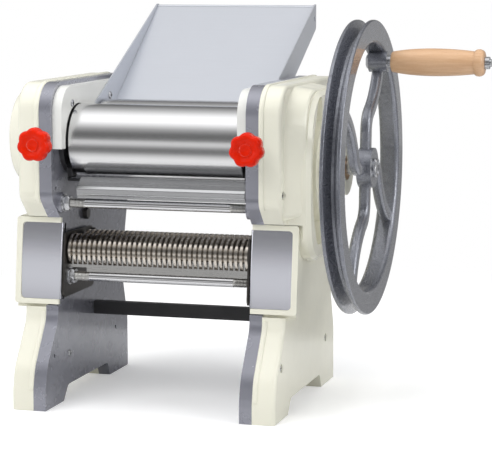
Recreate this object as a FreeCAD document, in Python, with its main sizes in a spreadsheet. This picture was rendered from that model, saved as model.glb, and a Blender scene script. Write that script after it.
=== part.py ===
"""Hand-cranked noodle machine: two sheeting rollers over a pair of slitting rollers, driven by one hand wheel.

Machine axes while building: X to the crank side, Y to the back, Z up. X = 0 is the middle between the side
frames, Y = 0 the front sheeting roller's axis and Z = 0 the table. The last step moves every sub-part so that
the origin lies under the middle of the whole machine. All sizes are millimetres.
"""
import FreeCAD, Part
import math
import os
import re

import Sketcher
from FreeCAD import Placement, Rotation, Vector

doc = FreeCAD.newDocument("noodle_machine")
sheet = doc.addObject("Spreadsheet::Sheet", "dims")

# ---------------------------------------------------------------- driving dimensions
# Distances along X are measured from the middle plane unless a comment says otherwise.
SIZES = {
    # side frames and covers
    "frame_inner": 101, "frame_outer": 114, "cover_outer": 137, "cover_wall": 3, "box_outer": 147,
    "left_boss_outer": 150, "gear_case_outer": 155, "gear_room_outer": 146, "shaft_case_outer": 160,
    "recess_floor": 149, "shaft_boss_outer": 183, "shaft_boss_radius": 28, "rod_pad_radius": 10.5,
    "rod_pad_height": 4, "edge_round": 4, "beyond": 60,
    # axes
    "roller_z": 268, "rear_roller_y": 75, "shaft_y": 31, "shaft_z": 244, "idler_y": 16, "idler_z": 199.5,
    "cutter_z": 155.5, "cutter_front_y": -10, "cutter_rear_y": 23,
    # sheeting rollers, their blocks and bushes
    "roller_radius": 36.8, "roller_half": 90, "roller_edge": 0.7, "shoulder_radius": 14, "shoulder_end": 95.4,
    "journal_radius": 12, "running_gap": 0.05, "flange_radius": 31, "front_flange_radius": 35,
    "flange_inner": 96, "flange_outer": 100.9, "barrel_radius": 20, "journal_end": 131,
    "short_journal_end": 113, "block_depth": 30, "block_height": 32, "gap_travel": 3.5,
    # gears
    "gear_near": 117, "gear_width": 12, "idler_axle_radius": 6, "idler_axle_end": 131,
    "idler_head_radius": 10, "idler_head_thick": 2,
    # scrapers
    "scraper_left": 80, "scraper_right": 95.5, "scraper_grip": 72, "bracket_near": 91,
    # cutting rollers
    "disc_radius": 16.9, "core_radius": 12.5, "disc_width": 2.6, "disc_pitch": 5.35, "cutter_half": 95.1,
    "neck_radius_cutter": 9, "neck_end_cutter": 96.1, "cutter_shaft_radius": 6, "cutter_shaft_end": 130,
    "bush_radius": 9,
    # cutter cassette
    "end_plate_near": 96.5, "end_plate_thick": 2, "collar_wall": 3, "comb_thick": 1.5, "finger_width": 1.5,
    "comb_strip_low": 139.4, "comb_strip_high": 142.4, "comb_band_low": 135, "comb_band_left": 76,
    "comb_band_right": 95.5, "finger_top": 150.1, "front_comb_y": -23.2, "rear_comb_y": 34.7,
    # tie rods and the bar between the legs
    "rod_radius": 4.75, "rod_half": 122, "upper_rod_y": -30, "upper_rod_z": 206,
    "lower_rod_y": -20, "lower_rod_z": 130, "rear_rod_y": 140, "rear_rod_z": 310,
    "nut_radius": 8.1, "nut_thick": 6, "washer_radius": 9.2, "washer_thick": 1.6,
    "cross_bar_y": 64, "cross_bar_z": 76, "cross_bar_depth": 8, "cross_bar_height": 14,
    # screws and bolts
    "screw_shank": 2, "bolt_radius": 2.5, "post_radius": 5.5, "counterbore_radius": 4.5, "counterbore_depth": 3,
    "bolt_head_radius": 6, "bolt_head_thick": 4.5, "bolt_tip": 112, "thread_depth": 18, "cross_head_thick": 2.9,
    "pan_head_radius": 4, "pan_head_thick": 2.4, "small_head_radius": 3.6, "small_head_thick": 1.8,
    "cover_screw_tip": 103, "small_screw_tip": 110.5,
    # caps over the cutter ends: depths are measured forwards from the leaning front of the box
    "cap_tilt": -6.54, "cap_top_y": -24.6, "cap_top_z": 190.6, "bezel_depth": 4.2, "plate_back": 1,
    "plate_depth": 2, "cap_inner": 101.1, "cap_outer": 148.4, "cap_low": -89, "seam": 0.8, "seam_near": 118,
    "notch_radius": 2.2, "notch_y": -29.6, "notch_z": 142,
    # dough guides
    "guide_inner": 91.2, "guide_outer": 100.9,
    # knobs and adjusting screws
    "screw_x": 109, "knob_radius": 14.2, "lobe_radius": 4.6, "lobe_ring": 13.4, "lobes": 7,
    "knob_front": -86, "knob_back": -69, "knob_neck": -63, "neck_radius": 8.5, "knob_wall": 4,
    "screw_radius": 3.5, "screw_gap": 0.1, "collar_front": -59, "collar_radius": 6.4, "frame_front": -54,
    # hand wheel
    "wheel_near": 189.2, "wheel_width": 20.5, "wheel_radius": 147, "rim_inner": 123, "groove_radius": 134,
    "flange_top": 3.5, "groove_floor": 3.2, "hub_radius": 20, "hub_near": 196, "hub_far": 210.5,
    "spoke_near": 196, "spoke_thick": 10.5, "spoke_width": 13, "spoke_round": 3.6,
    "shaft_radius": 8, "shaft_near": 101.2, "shaft_far": 213, "shaft_bush_radius": 12, "shaft_bush_end": 116,
    "outer_bush_radius": 13, "outer_bush_near": 159, "wheel_nut_radius": 10.5, "wheel_nut_thick": 3.5,
    # crank
    "crank_radius": 115, "crank_angle": 64, "crank_boss_radius": 10.5, "crank_boss_near": 194,
    "crank_boss_far": 213, "pin_radius": 4, "pin_near": 191, "pin_end": 318.5, "pin_head_radius": 7,
    "crank_collar_radius": 6.3, "crank_collar_thick": 3.6, "crank_nut_radius": 6.2, "crank_nut_near": 312.3,
    "crank_nut_thick": 4.5,
    # feed tray
    "tray_half": 93, "sheet_thick": 1.5, "bead_radius": 2.6, "bead_y": 259.5, "bead_z": 398,
    "tray_screw_y": 94, "tray_screw_z": 307.5, "tray_hole_y": 254.5, "tray_hole_z": 386, "tray_hole_radius": 2.6,
    # offset of the origin from the middle plane and from the front roller's axis
    "origin_x": 84.25, "origin_y": 73.05,
}


def store(alias, value):
    """Add one plain number to the sheet under a name."""
    row = store.rows = getattr(store, "rows", 0) + 1
    sheet.set("A%d" % row, alias)
    sheet.set("B%d" % row, repr(value))
    sheet.setAlias("B%d" % row, alias)
    SIZES[alias] = value


for alias, value in list(SIZES.items()):
    store(alias, value)
doc.recompute()
size = SIZES


def formula(text):
    """Expression for a size that is written with the sheet's names."""
    return re.sub(r"[a-z][a-z_]*[0-9]*(_[a-z0-9]+)*", lambda word: "dims." + word.group(0), str(text))


def bind(thing, **formulas):
    """Bind properties to the sheet; double underscores stand for dots in a property's path."""
    for path, text in formulas.items():
        thing.setExpression(path.replace("__", "."), formula(text))
    return thing


# ---------------------------------------------------------------- helpers: primitives and booleans
SIDES = ((-1, "left"), (1, "right"))
SUB_PARTS = []


def sub_part(thing, label):
    """Give a finished sub-part its own name and put it on the list to write."""
    thing.Label = label
    SUB_PARTS.append(thing)
    return thing


ALONG = {"X": Rotation(Vector(0, 1, 0), 90), "Y": Rotation(Vector(1, 0, 0), -90), "Z": Rotation()}


def bar(axis, radius, length, x=0, y=0, z=0):
    """Round bar that starts at x, y, z and runs along +axis."""
    thing = doc.addObject("Part::Cylinder", "bar")
    thing.Placement = Placement(Vector(), ALONG[axis])
    return bind(thing, Radius=radius, Height=length, Placement__Base__x=x, Placement__Base__y=y, Placement__Base__z=z)


def block(x, y, z, length, depth, height):
    """Rectangular block from its lowest corner."""
    thing = doc.addObject("Part::Box", "block")
    return bind(thing, Length=length, Width=depth, Height=height,
                Placement__Base__x=x, Placement__Base__y=y, Placement__Base__z=z)


def fuse(*things):
    thing = doc.addObject("Part::MultiFuse", "fused")
    thing.Shapes = list(things)
    thing.Refine = True
    return thing


def cut(base, *tools):
    thing = doc.addObject("Part::Cut", "cut")
    thing.Base = base
    thing.Tool = tools[0] if len(tools) == 1 else fuse(*tools)
    thing.Refine = True
    return thing


def group(*things):
    """Identical loose pieces kept as one sub-part of separate solids."""
    thing = doc.addObject("Part::Compound", "group")
    thing.Links = list(things)
    return thing


def span(side, near_x, far_x):
    """Start of a stretch between two distances from the middle plane, on one side."""
    return near_x if side > 0 else "-(%s)" % far_x


def across(side, radius, near_x, far_x, y, z):
    """Round bar along X between two distances from the middle plane; side is +1 at the crank, -1 opposite."""
    return bar("X", radius, "%s - (%s)" % (far_x, near_x), span(side, near_x, far_x), y, z)


def ring(side, outer, inner, near_x, far_x, y, z):
    """Tube along X between two distances from the middle plane."""
    return cut(across(side, outer, near_x, far_x, y, z), across(side, inner, near_x, far_x, y, z))


def hexagon(side, radius, near_x, far_x, y, z):
    """Hexagonal nut or bolt head along X, radius over its corners."""
    thing = doc.addObject("Part::Prism", "hexagon")
    thing.Polygon = 6
    thing.Placement = Placement(Vector(), ALONG["X"])
    return bind(thing, Circumradius=radius, Height="%s - (%s)" % (far_x, near_x),
                Placement__Base__x=span(side, near_x, far_x), Placement__Base__y=y, Placement__Base__z=z)


# ---------------------------------------------------------------- helpers: sketched bodies
PLANES = {"X": "YZ_Plane", "Y": "XZ_Plane", "Z": "XY_Plane"}
FLAT = {"X": lambda p: (p.y, p.z), "Y": lambda p: (p.x, p.z)}


def new_body():
    return doc.addObject("PartDesign::Body", "body")


def outline(body, axis, corners, offset=0):
    """Closed sketch across an axis whose corners are bound one by one to the sheet."""
    outline.count = getattr(outline, "count", 0) + 1
    sketch = body.newObject("Sketcher::SketchObject", "outline")
    plane = next(f for f in body.Origin.OriginFeatures if f.Role == PLANES[axis])
    sketch.AttachmentSupport = [(plane, "")]
    sketch.MapMode = "FlatFace"
    bind(sketch, AttachmentOffset__Base__z=offset)
    points = [Vector(corner[0], corner[1], 0) for corner in corners]
    count = len(points)
    for i, point in enumerate(points):
        sketch.addGeometry(Part.LineSegment(point, points[(i + 1) % count]), False)
    for i in range(count):
        sketch.addConstraint(Sketcher.Constraint("Coincident", i, 2, (i + 1) % count, 1))
    for i, point in enumerate(points):
        for kind, letter, value in (("DistanceX", "u", point.x), ("DistanceY", "v", point.y)):
            alias = "corner%d_%s%d" % (outline.count, letter, i)
            store(alias, value)
            index = sketch.addConstraint(Sketcher.Constraint(kind, -1, 1, i, 1, value))
            sketch.setExpression("Constraints[%d]" % index, formula(alias))
    sheet.recompute()
    sketch.recompute()
    return sketch


def pad(body, sketch, length):
    feature = body.newObject("PartDesign::Pad", "pad")
    feature.Profile = sketch
    sketch.Visibility = False
    return bind(feature, Length=length)


def near(a, b):
    return abs(a - b) < 1e-4


def edges_where(feature, test):
    """Names of the edges whose ends all pass a test."""
    return ["Edge%d" % number for number, edge in enumerate(feature.Shape.Edges, 1)
            if all(test(vertex.Point) for vertex in edge.Vertexes)]


def fillet(body, feature, edges, radius):
    rounded = body.newObject("PartDesign::Fillet", "fillet")
    rounded.Base = (feature, edges)
    bind(rounded, Radius=radius)
    rounded.recompute()
    return rounded


def round_corners(body, feature, corners, axis="X"):
    """Round the corners that carry a radius, one fillet for each radius."""
    feature.recompute()
    flat = FLAT[axis]
    for radius in sorted({corner[2] for corner in corners if len(corner) > 2}, reverse=True):
        edges = []
        for corner in corners:
            if len(corner) > 2 and corner[2] == radius:
                place = Vector(corner[0], corner[1], 0)
                edges += edges_where(feature, lambda p: near(place.distanceToPoint(Vector(*flat(p), 0)), 0))
        feature = fillet(body, feature, edges, radius)
    return feature


def plate(side, corners, near_x, far_x):
    """Plate across X with an outline in Y and Z, between two distances from the middle plane."""
    body = new_body()
    feature = pad(body, outline(body, "X", corners, span(side, near_x, far_x)), "%s - (%s)" % (far_x, near_x))
    round_corners(body, feature, corners)
    return body


def turned(profile, y="0", z="0"):
    """Body turned about an axis along X; the profile's corners are (x, radius)."""
    body = new_body()
    sketch = outline(body, "Z", profile)
    feature = body.newObject("PartDesign::Revolution", "turned")
    feature.Profile = sketch
    feature.ReferenceAxis = (sketch, ["H_Axis"])
    feature.Angle = 360
    return bind(body, Placement__Base__y=y, Placement__Base__z=z)


# ---------------------------------------------------------------- helpers: outlines with round corners


def rounded_wire(corners, place):
    """Closed wire through (u, v, radius) corners with a tangent arc at each; place puts u, v in space."""
    points = [place(corner[0], corner[1]) for corner in corners]
    count = len(points)
    stops = []
    for i, corner in enumerate(corners):
        back = (points[i - 1] - points[i]).normalize()
        ahead = (points[(i + 1) % count] - points[i]).normalize()
        half = back.getAngle(ahead) / 2
        run = corner[2] / math.tan(half)
        centre = points[i] + (back + ahead).normalize() * (corner[2] / math.sin(half))
        middle = centre + (points[i] - centre).normalize() * corner[2]
        stops.append((points[i] + back * run, middle, points[i] + ahead * run))
    edges = []
    for i, (start, middle, end) in enumerate(stops):
        edges += [Part.Arc(start, middle, end).toShape(), Part.makeLine(end, stops[(i + 1) % count][0])]
    return Part.Wire(edges)


def inset(corners, amount):
    """The same counter-clockwise outline moved inwards all round; round corners keep their centres."""
    moved = []
    for i, (u, v, radius) in enumerate(corners):
        after = corners[(i + 1) % len(corners)]
        before = corners[i - 1]
        along = Vector(u - before[0], v - before[1], 0).normalize()
        ahead = Vector(after[0] - u, after[1] - v, 0).normalize()
        inwards = Vector(-along.y - ahead.y, along.x + ahead.x, 0)
        reach = amount / (1 + along.dot(ahead))
        convex = along.cross(ahead).z > 0
        moved.append((u + inwards.x * reach, v + inwards.y * reach, radius - amount if convex else radius + amount))
    return moved


def moulding(side, *stations):
    """Solid through round-cornered outlines in Y and Z, each given with its distance from the middle plane."""
    thing = doc.addObject("Part::Feature", "moulding")
    wires = []
    for corners, distance in stations:
        wires.append(rounded_wire(corners, lambda y, z: Vector(side * distance, y, z)))
    thing.Shape = Part.makeLoft(wires, True, True)
    return thing


# ---------------------------------------------------------------- side frames
# Corners are (Y, Z, radius): a foot at each end, a waist, a step for the cutter box and a tall head.
ARCH_TOP, STEP_LOW = 15, 101.5
SIDE = [
    (-78, 0), (-27, 0), (-14, ARCH_TOP, 8), (106, ARCH_TOP, 8), (113, 0), (172, 0), (172, 56, 30), (158, 98, 30),
    (158, 128, 40), (176, 190, 40), (178, 328, 24), (-54, 328, 30), (-54, 212, 16), (-32, 190.9),
    (-24.6, 190.6), (-34.8, STEP_LOW), (-40, STEP_LOW), (-40, 88, 24), (-73, 42, 40), (-78, 20, 40),
]
# Places (Y, Z) of the screws that go into the frames.
CROSS_BAR_SCREWS = [(68, 83)]
LEG_SCREWS = [(-10, 47)]
FRAME_BOLTS, PLATE_BOLTS = [(39, 187)], [(47, 165)]
GUIDE_SCREWS = [(-20, 306.5), (118, 300)]
GUIDE_SCREW_DEPTH = 10
COVER_SCREWS = {
    1: [(-46.5, 222), (-52, 52), (132, 50), (150, 300)],
    -1: [(-42, 222), (-52, 52), (132, 50), (150, 300)],
}


def side_frame(side, label):
    start, end = "frame_inner - rod_pad_height - 1", "frame_outer + 1"

    def holes(radius, *places):
        return [across(side, radius, start, end, y, z) for y, z in places]

    rod_pad = across(side, "rod_pad_radius", "frame_inner - rod_pad_height", "frame_inner + 1",
                     "upper_rod_y", "upper_rod_z")
    frame = fuse(plate(side, SIDE, "frame_inner", "frame_outer"), rod_pad)
    tools = [block(span(side, start, end), "-(block_depth / 2) - gap_travel",
                   "roller_z - block_height / 2 - running_gap", "%s - (%s)" % (end, start),
                   "block_depth + gap_travel + running_gap", "block_height + 2 * running_gap")]
    tools += holes("barrel_radius", ("rear_roller_y", "roller_z"))
    tools += holes("bush_radius", ("cutter_front_y", "cutter_z"), ("cutter_rear_y", "cutter_z"))
    tools += holes("rod_radius", ("upper_rod_y", "upper_rod_z"), ("lower_rod_y", "lower_rod_z"),
                   ("rear_rod_y", "rear_rod_z"))
    tools += holes("bolt_radius", *CROSS_BAR_SCREWS, *FRAME_BOLTS, *PLATE_BOLTS)
    tools += holes("screw_shank", *COVER_SCREWS[side], *LEG_SCREWS)
    tools += [across(side, "screw_shank", "frame_inner - 1", "frame_inner + %d" % GUIDE_SCREW_DEPTH, y, z)
              for y, z in GUIDE_SCREWS]
    if side > 0:
        tools += holes("shaft_bush_radius", ("shaft_y", "shaft_z"))
        tools += holes("idler_axle_radius", ("idler_y", "idler_z"))
    tools.append(bar("Y", "screw_radius + screw_gap", "-(block_depth / 2) - frame_front + 1",
                     "screw_x" if side > 0 else "-screw_x", "frame_front - 1", "roller_z"))
    return sub_part(cut(frame, *tools), label)


for side, name in SIDES:
    side_frame(side, name + "_side_frame")

# ---------------------------------------------------------------- leaning front of the cutter box


def tilted(body):
    """Lay a body's XZ plane on the leaning front of the cutter box."""
    body.Placement = Placement(Vector(), Rotation(Vector(1, 0, 0), size["cap_tilt"]))
    return bind(body, Placement__Base__y="cap_top_y", Placement__Base__z="cap_top_z")


def cap_room(side):
    """Room in front of the box where the cap sits, with a narrow seam behind the cap's outer part."""
    body = tilted(new_body())
    inner, outer, low, forwards = side * 100, side * 152, -92, 30
    seam_near = side * size["seam_near"]
    pad(body, outline(body, "Y", [(inner, 0), (outer, 0), (outer, low), (inner, low)]), forwards)
    pad(body, outline(body, "Y", [(seam_near, 0), (outer, 0), (outer, low), (seam_near, low)], "-seam"), "seam + 1")
    return body


# ---------------------------------------------------------------- covers
# Thin moulded shells, open towards the frames and at the front of the box, where the cap goes.
HOLLOW = [
    (-75, 3), (-29, 3), (-16, 18, 6), (108, 18, 6), (115, 3), (169, 3), (169, 55, 27), (155, 97, 27),
    (155, 129, 37), (173, 191, 37), (175, 325, 21), (-51, 325, 27), (-51, 213.5, 13), (-29, 193.9),
    (-21, 187), (-36, 187), (-45, 104.5), (-31, 104.5), (-31, 98.5), (-37, 98.5), (-37, 88.5, 21), (-70, 43, 37),
    (-75, 20, 37),
]
BOX = [(-34.8, STEP_LOW), (-34.8, 98.5), (82, 98.5, 22), (82, 190.6, 10), (-24.6, 190.6)]
BOX_HOLLOW = [(-46, 104.5), (79, 104.5, 19), (79, 187.6, 7), (-46, 187.6)]
BOX_SEAT = 4

# The gear case on the crank side: a tapered body and on it the shaft case, whose front is one long arc. A lip
# follows the arc round a deep recess, and a round swelling about the shaft stands in the recess.
GEAR_CASE_BASE = [(4, 147, 30), (126, 147, 46), (126, 325.5, 60), (-44, 325.5, 46), (-44, 196, 8),
                  (-21.5, 196, 6), (-21.5, 184, 14)]
GEAR_CASE_FACE = [(7, 150, 30), (117, 150, 42), (117, 322.5, 54), (-30.5, 322.5, 40), (-30.5, 201, 4.5),
                  (-20.5, 201, 4), (-20.5, 186, 14)]
GEAR_ROOM = [(-6, 160, 15), (110, 160, 30), (110, 314, 40), (-6, 314, 40)]
SHAFT_ROOM = [(22, 160, 5), (108, 160, 34), (108, 314, 40), (22, 314, 5)]
CASE_ARC = {"front": -32.7, "z": 229, "radius": 204, "half": math.radians(14)}
RECESS_ARC = {"front": -22, "z": 237, "radius": 115, "half": math.radians(27)}
CASE_LOW, CASE_HIGH, CASE_BACK = 152.8, 320, 112
RECESS_LOW, RECESS_HIGH, RECESS_BACK = 168, 315, 17
SWELLING = {"radius": 64, "y": 57, "z": 240}
BEVEL, LIP_BEVEL = 1.5, 4


def arc_corner(arc):
    """Sharp corner whose rounding is a long front arc."""
    return (arc["front"] + arc["radius"] * (1 - 1 / math.cos(arc["half"])), arc["z"], arc["radius"])


def beside_arc(arc, z):
    """Y of the straight lines that run on from both ends of a long arc."""
    return arc_corner(arc)[0] + abs(z - arc["z"]) * math.tan(arc["half"])


CASE = [(beside_arc(CASE_ARC, CASE_LOW), CASE_LOW, 34), (CASE_BACK, CASE_LOW, 40), (CASE_BACK, CASE_HIGH, 48),
        (beside_arc(CASE_ARC, CASE_HIGH), CASE_HIGH, 44), arc_corner(CASE_ARC)]
RECESS = [(beside_arc(RECESS_ARC, RECESS_LOW), RECESS_LOW, 12), (RECESS_BACK, RECESS_LOW, 5),
          (RECESS_BACK, RECESS_HIGH, 5), (beside_arc(RECESS_ARC, RECESS_HIGH), RECESS_HIGH, 10),
          arc_corner(RECESS_ARC)]

# The left side's low boss over the pair of mesh gears.
LEFT_BOSS_BASE = [(-53, 215, 55), (133, 215, 55), (133, 327, 55), (-53, 327, 55)]
LEFT_BOSS_FACE = inset(LEFT_BOSS_BASE, 8)
LEFT_ROOM = [(-40, 230, 42), (118, 230, 42), (118, 315, 42), (-40, 315, 42)]


def face_edges(feature, x):
    """Edges of the flat face at one X, apart from the arch between the feet and the step for the box."""
    def beside_box(point):
        return point.y < size["cap_top_y"] + 0.6 and STEP_LOW - 0.5 < point.z < size["cap_top_z"] + 0.4
    on_face = edges_where(feature, lambda p: near(p.x, x) and p.z > ARCH_TOP + 1)
    boxed = edges_where(feature, beside_box)
    return [name for name in on_face if name not in boxed]


def bevelled(side, base, face, base_x, face_x, bevel=BEVEL):
    """Raised form from a base outline to a face outline, with a bevel round the face."""
    return moulding(side, (base, base_x), (face, face_x - bevel), (inset(face, bevel), face_x))


def recess(side):
    """Pocket between the lip of the shaft case and the swelling about the shaft."""
    pocket = moulding(side, (RECESS, size["recess_floor"]), (RECESS, size["shaft_case_outer"] + 1))
    swelling = across(side, SWELLING["radius"], "recess_floor - 1", "shaft_case_outer + 2",
                      SWELLING["y"], SWELLING["z"])
    return cut(pocket, swelling)


def cover(side, label):
    """Outer shell, hollowed out, with posts for its screws and room for the cap in front of the box."""
    body = new_body()
    shell = pad(body, outline(body, "X", SIDE, span(side, "frame_outer", "cover_outer")), "cover_outer - frame_outer")
    shell = round_corners(body, shell, SIDE)
    fillet(body, shell, face_edges(shell, side * size["cover_outer"]), "edge_round")
    box_near = "frame_outer + %d" % BOX_SEAT
    box = pad(body, outline(body, "X", BOX, span(side, box_near, "box_outer")), "box_outer - (%s)" % box_near)
    round_corners(body, box, BOX)
    face_x = size["cover_outer"] - 1
    outside = [body]
    inside = [plate(side, HOLLOW, "frame_outer - 1", "cover_outer - cover_wall"),
              plate(side, BOX_HOLLOW, "frame_outer - 1", "box_outer - cover_wall")]
    posts = [across(side, "post_radius", "frame_outer", "cover_outer - 2", y, z) for y, z in COVER_SCREWS[side]]
    drills = []
    for y, z in COVER_SCREWS[side]:
        drills.append(across(side, "screw_shank", "frame_outer - 1", "frame_outer + beyond", y, z))
        drills.append(across(side, "counterbore_radius", "cover_outer - counterbore_depth",
                             "cover_outer + beyond", y, z))
    if side > 0:
        gear_case = size["gear_case_outer"]
        outside.append(bevelled(side, GEAR_CASE_BASE, GEAR_CASE_FACE, face_x, gear_case))
        outside.append(bevelled(side, CASE, CASE, face_x, size["shaft_case_outer"], LIP_BEVEL))
        inside.append(plate(side, GEAR_ROOM, "cover_outer - cover_wall - 1", "gear_room_outer"))
        inside.append(plate(side, SHAFT_ROOM, "gear_room_outer - 1", "shaft_case_outer - cover_wall"))
        inside.append(recess(side))
        posts.append(across(side, "shaft_boss_radius", "gear_case_outer - 2", "shaft_boss_outer",
                            "shaft_y", "shaft_z"))
        drills.append(across(side, "outer_bush_radius", "cover_outer", "cover_outer + beyond",
                             "shaft_y", "shaft_z"))
    else:
        outside.append(bevelled(side, LEFT_BOSS_BASE, LEFT_BOSS_FACE, face_x, size["left_boss_outer"]))
        inside.append(plate(side, LEFT_ROOM, "cover_outer - cover_wall - 1", "left_boss_outer - cover_wall"))
    drills.append(cap_room(side))
    drills.append(across(side, "notch_radius", "box_outer - cover_wall - 1", "box_outer + 1", "notch_y", "notch_z"))
    return sub_part(cut(fuse(cut(fuse(*outside), *inside), *posts), *drills), label)


for side, name in SIDES:
    cover(side, name + "_cover")

# ---------------------------------------------------------------- caps over the ends of the cutting rollers
# A cream rim open towards the middle holds a grey plate; both lean forward at the bottom.
RIM_TOP, RIM_BAND, RIM_FOOT, PLATE_GAP, PLATE_ROUND = -0.6, 6, 5, 0.1, 1.2


def cap(side, name):
    inner, outer, low = side * size["cap_inner"], side * size["cap_outer"], size["cap_low"]
    bay, bay_low, bay_high = outer - side * RIM_BAND, low + RIM_FOOT, -RIM_BAND
    rim = [(inner, RIM_TOP), (outer, RIM_TOP, 3), (outer, low, 3), (inner, low), (inner, bay_low), (bay, bay_low, 4),
           (bay, bay_high, 4), (inner, bay_high)]
    body = tilted(new_body())
    round_corners(body, pad(body, outline(body, "Y", rim), "bezel_depth"), rim, "Y")
    sub_part(body, name + "_cap_rim")
    side_x, low_z, high_z = bay - side * PLATE_GAP, bay_low + PLATE_GAP, bay_high - PLATE_GAP
    face = [(inner, low_z, 5), (side_x, low_z, 3.9), (side_x, high_z, 3.9), (inner, high_z, 5)]
    body = tilted(new_body())
    feature = pad(body, outline(body, "Y", face, "plate_back"), "plate_depth")
    feature = round_corners(body, feature, face, "Y")
    front = -size["plate_back"] - size["plate_depth"]
    fillet(body, feature, edges_where(feature, lambda p: near(p.y, front)), PLATE_ROUND)
    sub_part(body, name + "_cap_plate")


for side, name in SIDES:
    cap(side, name)

# ---------------------------------------------------------------- dough guides
# White moulded cheeks that fill the space above the roller ends.
GUIDE = [(-50, 262), (129, 262), (129, 324, 6), (-50, 324, 27)]
FRONT_GAP, REAR_GAP = 2.5, 2
UNDERCUT = {"y": -35, "z": 260, "depth": 140, "height": 27}
WALL_POCKET = {"y": 46, "z": 280, "depth": 96, "height": 50}


def dough_guide(side, label):
    body = plate(side, GUIDE, "guide_inner", "guide_outer")
    near_x, far_x = "roller_half", "frame_inner + 1"
    width = "%s - (%s)" % (far_x, near_x)
    tools = [
        across(side, "front_flange_radius + %s" % FRONT_GAP, near_x, far_x, "-(gap_travel / 2)", "roller_z"),
        across(side, "flange_radius + %s" % REAR_GAP, near_x, far_x, "rear_roller_y", "roller_z"),
        block(span(side, near_x, far_x), UNDERCUT["y"], UNDERCUT["z"], width, UNDERCUT["depth"], UNDERCUT["height"]),
        block(span(side, near_x, "tray_half + 0.1"), WALL_POCKET["y"], WALL_POCKET["z"],
              "tray_half + 0.1 - (%s)" % near_x, WALL_POCKET["depth"], WALL_POCKET["height"]),
    ]
    tools += [across(side, "screw_shank", near_x, far_x, y, z) for y, z in GUIDE_SCREWS]
    tools.append(across(side, "screw_shank", near_x, far_x, "tray_screw_y", "tray_screw_z"))
    return sub_part(cut(body, *tools), label)


for side, name in SIDES:
    dough_guide(side, name + "_dough_guide")

# ---------------------------------------------------------------- tie rods, cross bar, nuts and washers
# The upper and the lower rod have an inner nut on the left only; on the right their threads run into the frame.
LEFT_ONLY, BOTH = (-1,), (-1, 1)
RODS = [("upper", "frame_inner - rod_pad_height", LEFT_ONLY), ("lower", "end_plate_near", LEFT_ONLY),
        ("rear", "frame_inner", BOTH)]
nuts = []
washers = []
for name, face, inner_sides in RODS:
    y, z = name + "_rod_y", name + "_rod_z"
    sub_part(bar("X", "rod_radius", "2 * rod_half", "-rod_half", y, z), name + "_tie_rod")
    for side in BOTH:
        outer_nut = hexagon(side, "nut_radius", "frame_outer", "frame_outer + nut_thick", y, z)
        nuts.append(cut(outer_nut, across(side, "rod_radius", "frame_outer", "frame_outer + nut_thick", y, z)))
    for side in inner_sides:
        seat = face + " - washer_thick"
        washers.append(ring(side, "washer_radius", "rod_radius", seat, face, y, z))
        inner_nut = hexagon(side, "nut_radius", seat + " - nut_thick", seat, y, z)
        nuts.append(cut(inner_nut, across(side, "rod_radius", seat + " - nut_thick", seat, y, z)))
sub_part(group(*nuts), "tie_rod_nuts")
sub_part(group(*washers), "tie_rod_washers")

cross_bar = block("-frame_inner", "cross_bar_y", "cross_bar_z", "2 * frame_inner", "cross_bar_depth", "cross_bar_height")
threads = [across(side, "bolt_radius", "frame_inner - thread_depth", "frame_inner", y, z)
           for y, z in CROSS_BAR_SCREWS for side in BOTH]
sub_part(cut(cross_bar, *threads), "rear_cross_bar")
cross_screws = []
for y, z in CROSS_BAR_SCREWS:
    for side in BOTH:
        shank = across(side, "bolt_radius", "frame_inner - thread_depth", "frame_outer", y, z)
        head = across(side, "counterbore_radius", "frame_outer", "frame_outer + cross_head_thick", y, z)
        cross_screws.append(fuse(shank, head))
sub_part(group(*cross_screws), "cross_bar_screws")

# ---------------------------------------------------------------- small screws


def pan_screw(side, head_radius, head_near, head_far, tip, outwards, y, z):
    """Screw along X whose head lies between two distances; its shank runs outwards or inwards to the tip."""
    shank = (head_far, tip) if outwards else (tip, head_near)
    return fuse(across(side, head_radius, head_near, head_far, y, z), across(side, "screw_shank", *shank, y, z))


for side, name in SIDES:
    head = "cover_outer - counterbore_depth"
    screws = [pan_screw(side, "pan_head_radius", head, head + " + pan_head_thick", "cover_screw_tip", False, y, z)
              for y, z in COVER_SCREWS[side]]
    sub_part(group(*screws), name + "_cover_screws")
frame_screws = []
for side in BOTH:
    for seat, (y, z) in (("frame_inner", LEG_SCREWS[0]), ("guide_inner", GUIDE_SCREWS[0])):
        frame_screws.append(pan_screw(side, "small_head_radius", seat + " - small_head_thick", seat,
                                      "small_screw_tip", True, y, z))
sub_part(group(*frame_screws), "frame_screws")


def hexagon_bolt(side, seat, y, z):
    """Bolt into a frame from the inside, with its head against a seat."""
    return fuse(hexagon(side, "bolt_head_radius", seat + " - bolt_head_thick", seat, y, z),
                across(side, "bolt_radius", seat, "bolt_tip", y, z))


bolts = [hexagon_bolt(side, "frame_inner", y, z) for side in BOTH for y, z in FRAME_BOLTS]
bolts += [hexagon_bolt(side, "end_plate_near", y, z) for side in BOTH for y, z in PLATE_BOLTS]
sub_part(group(*bolts), "cassette_bolts")

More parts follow.
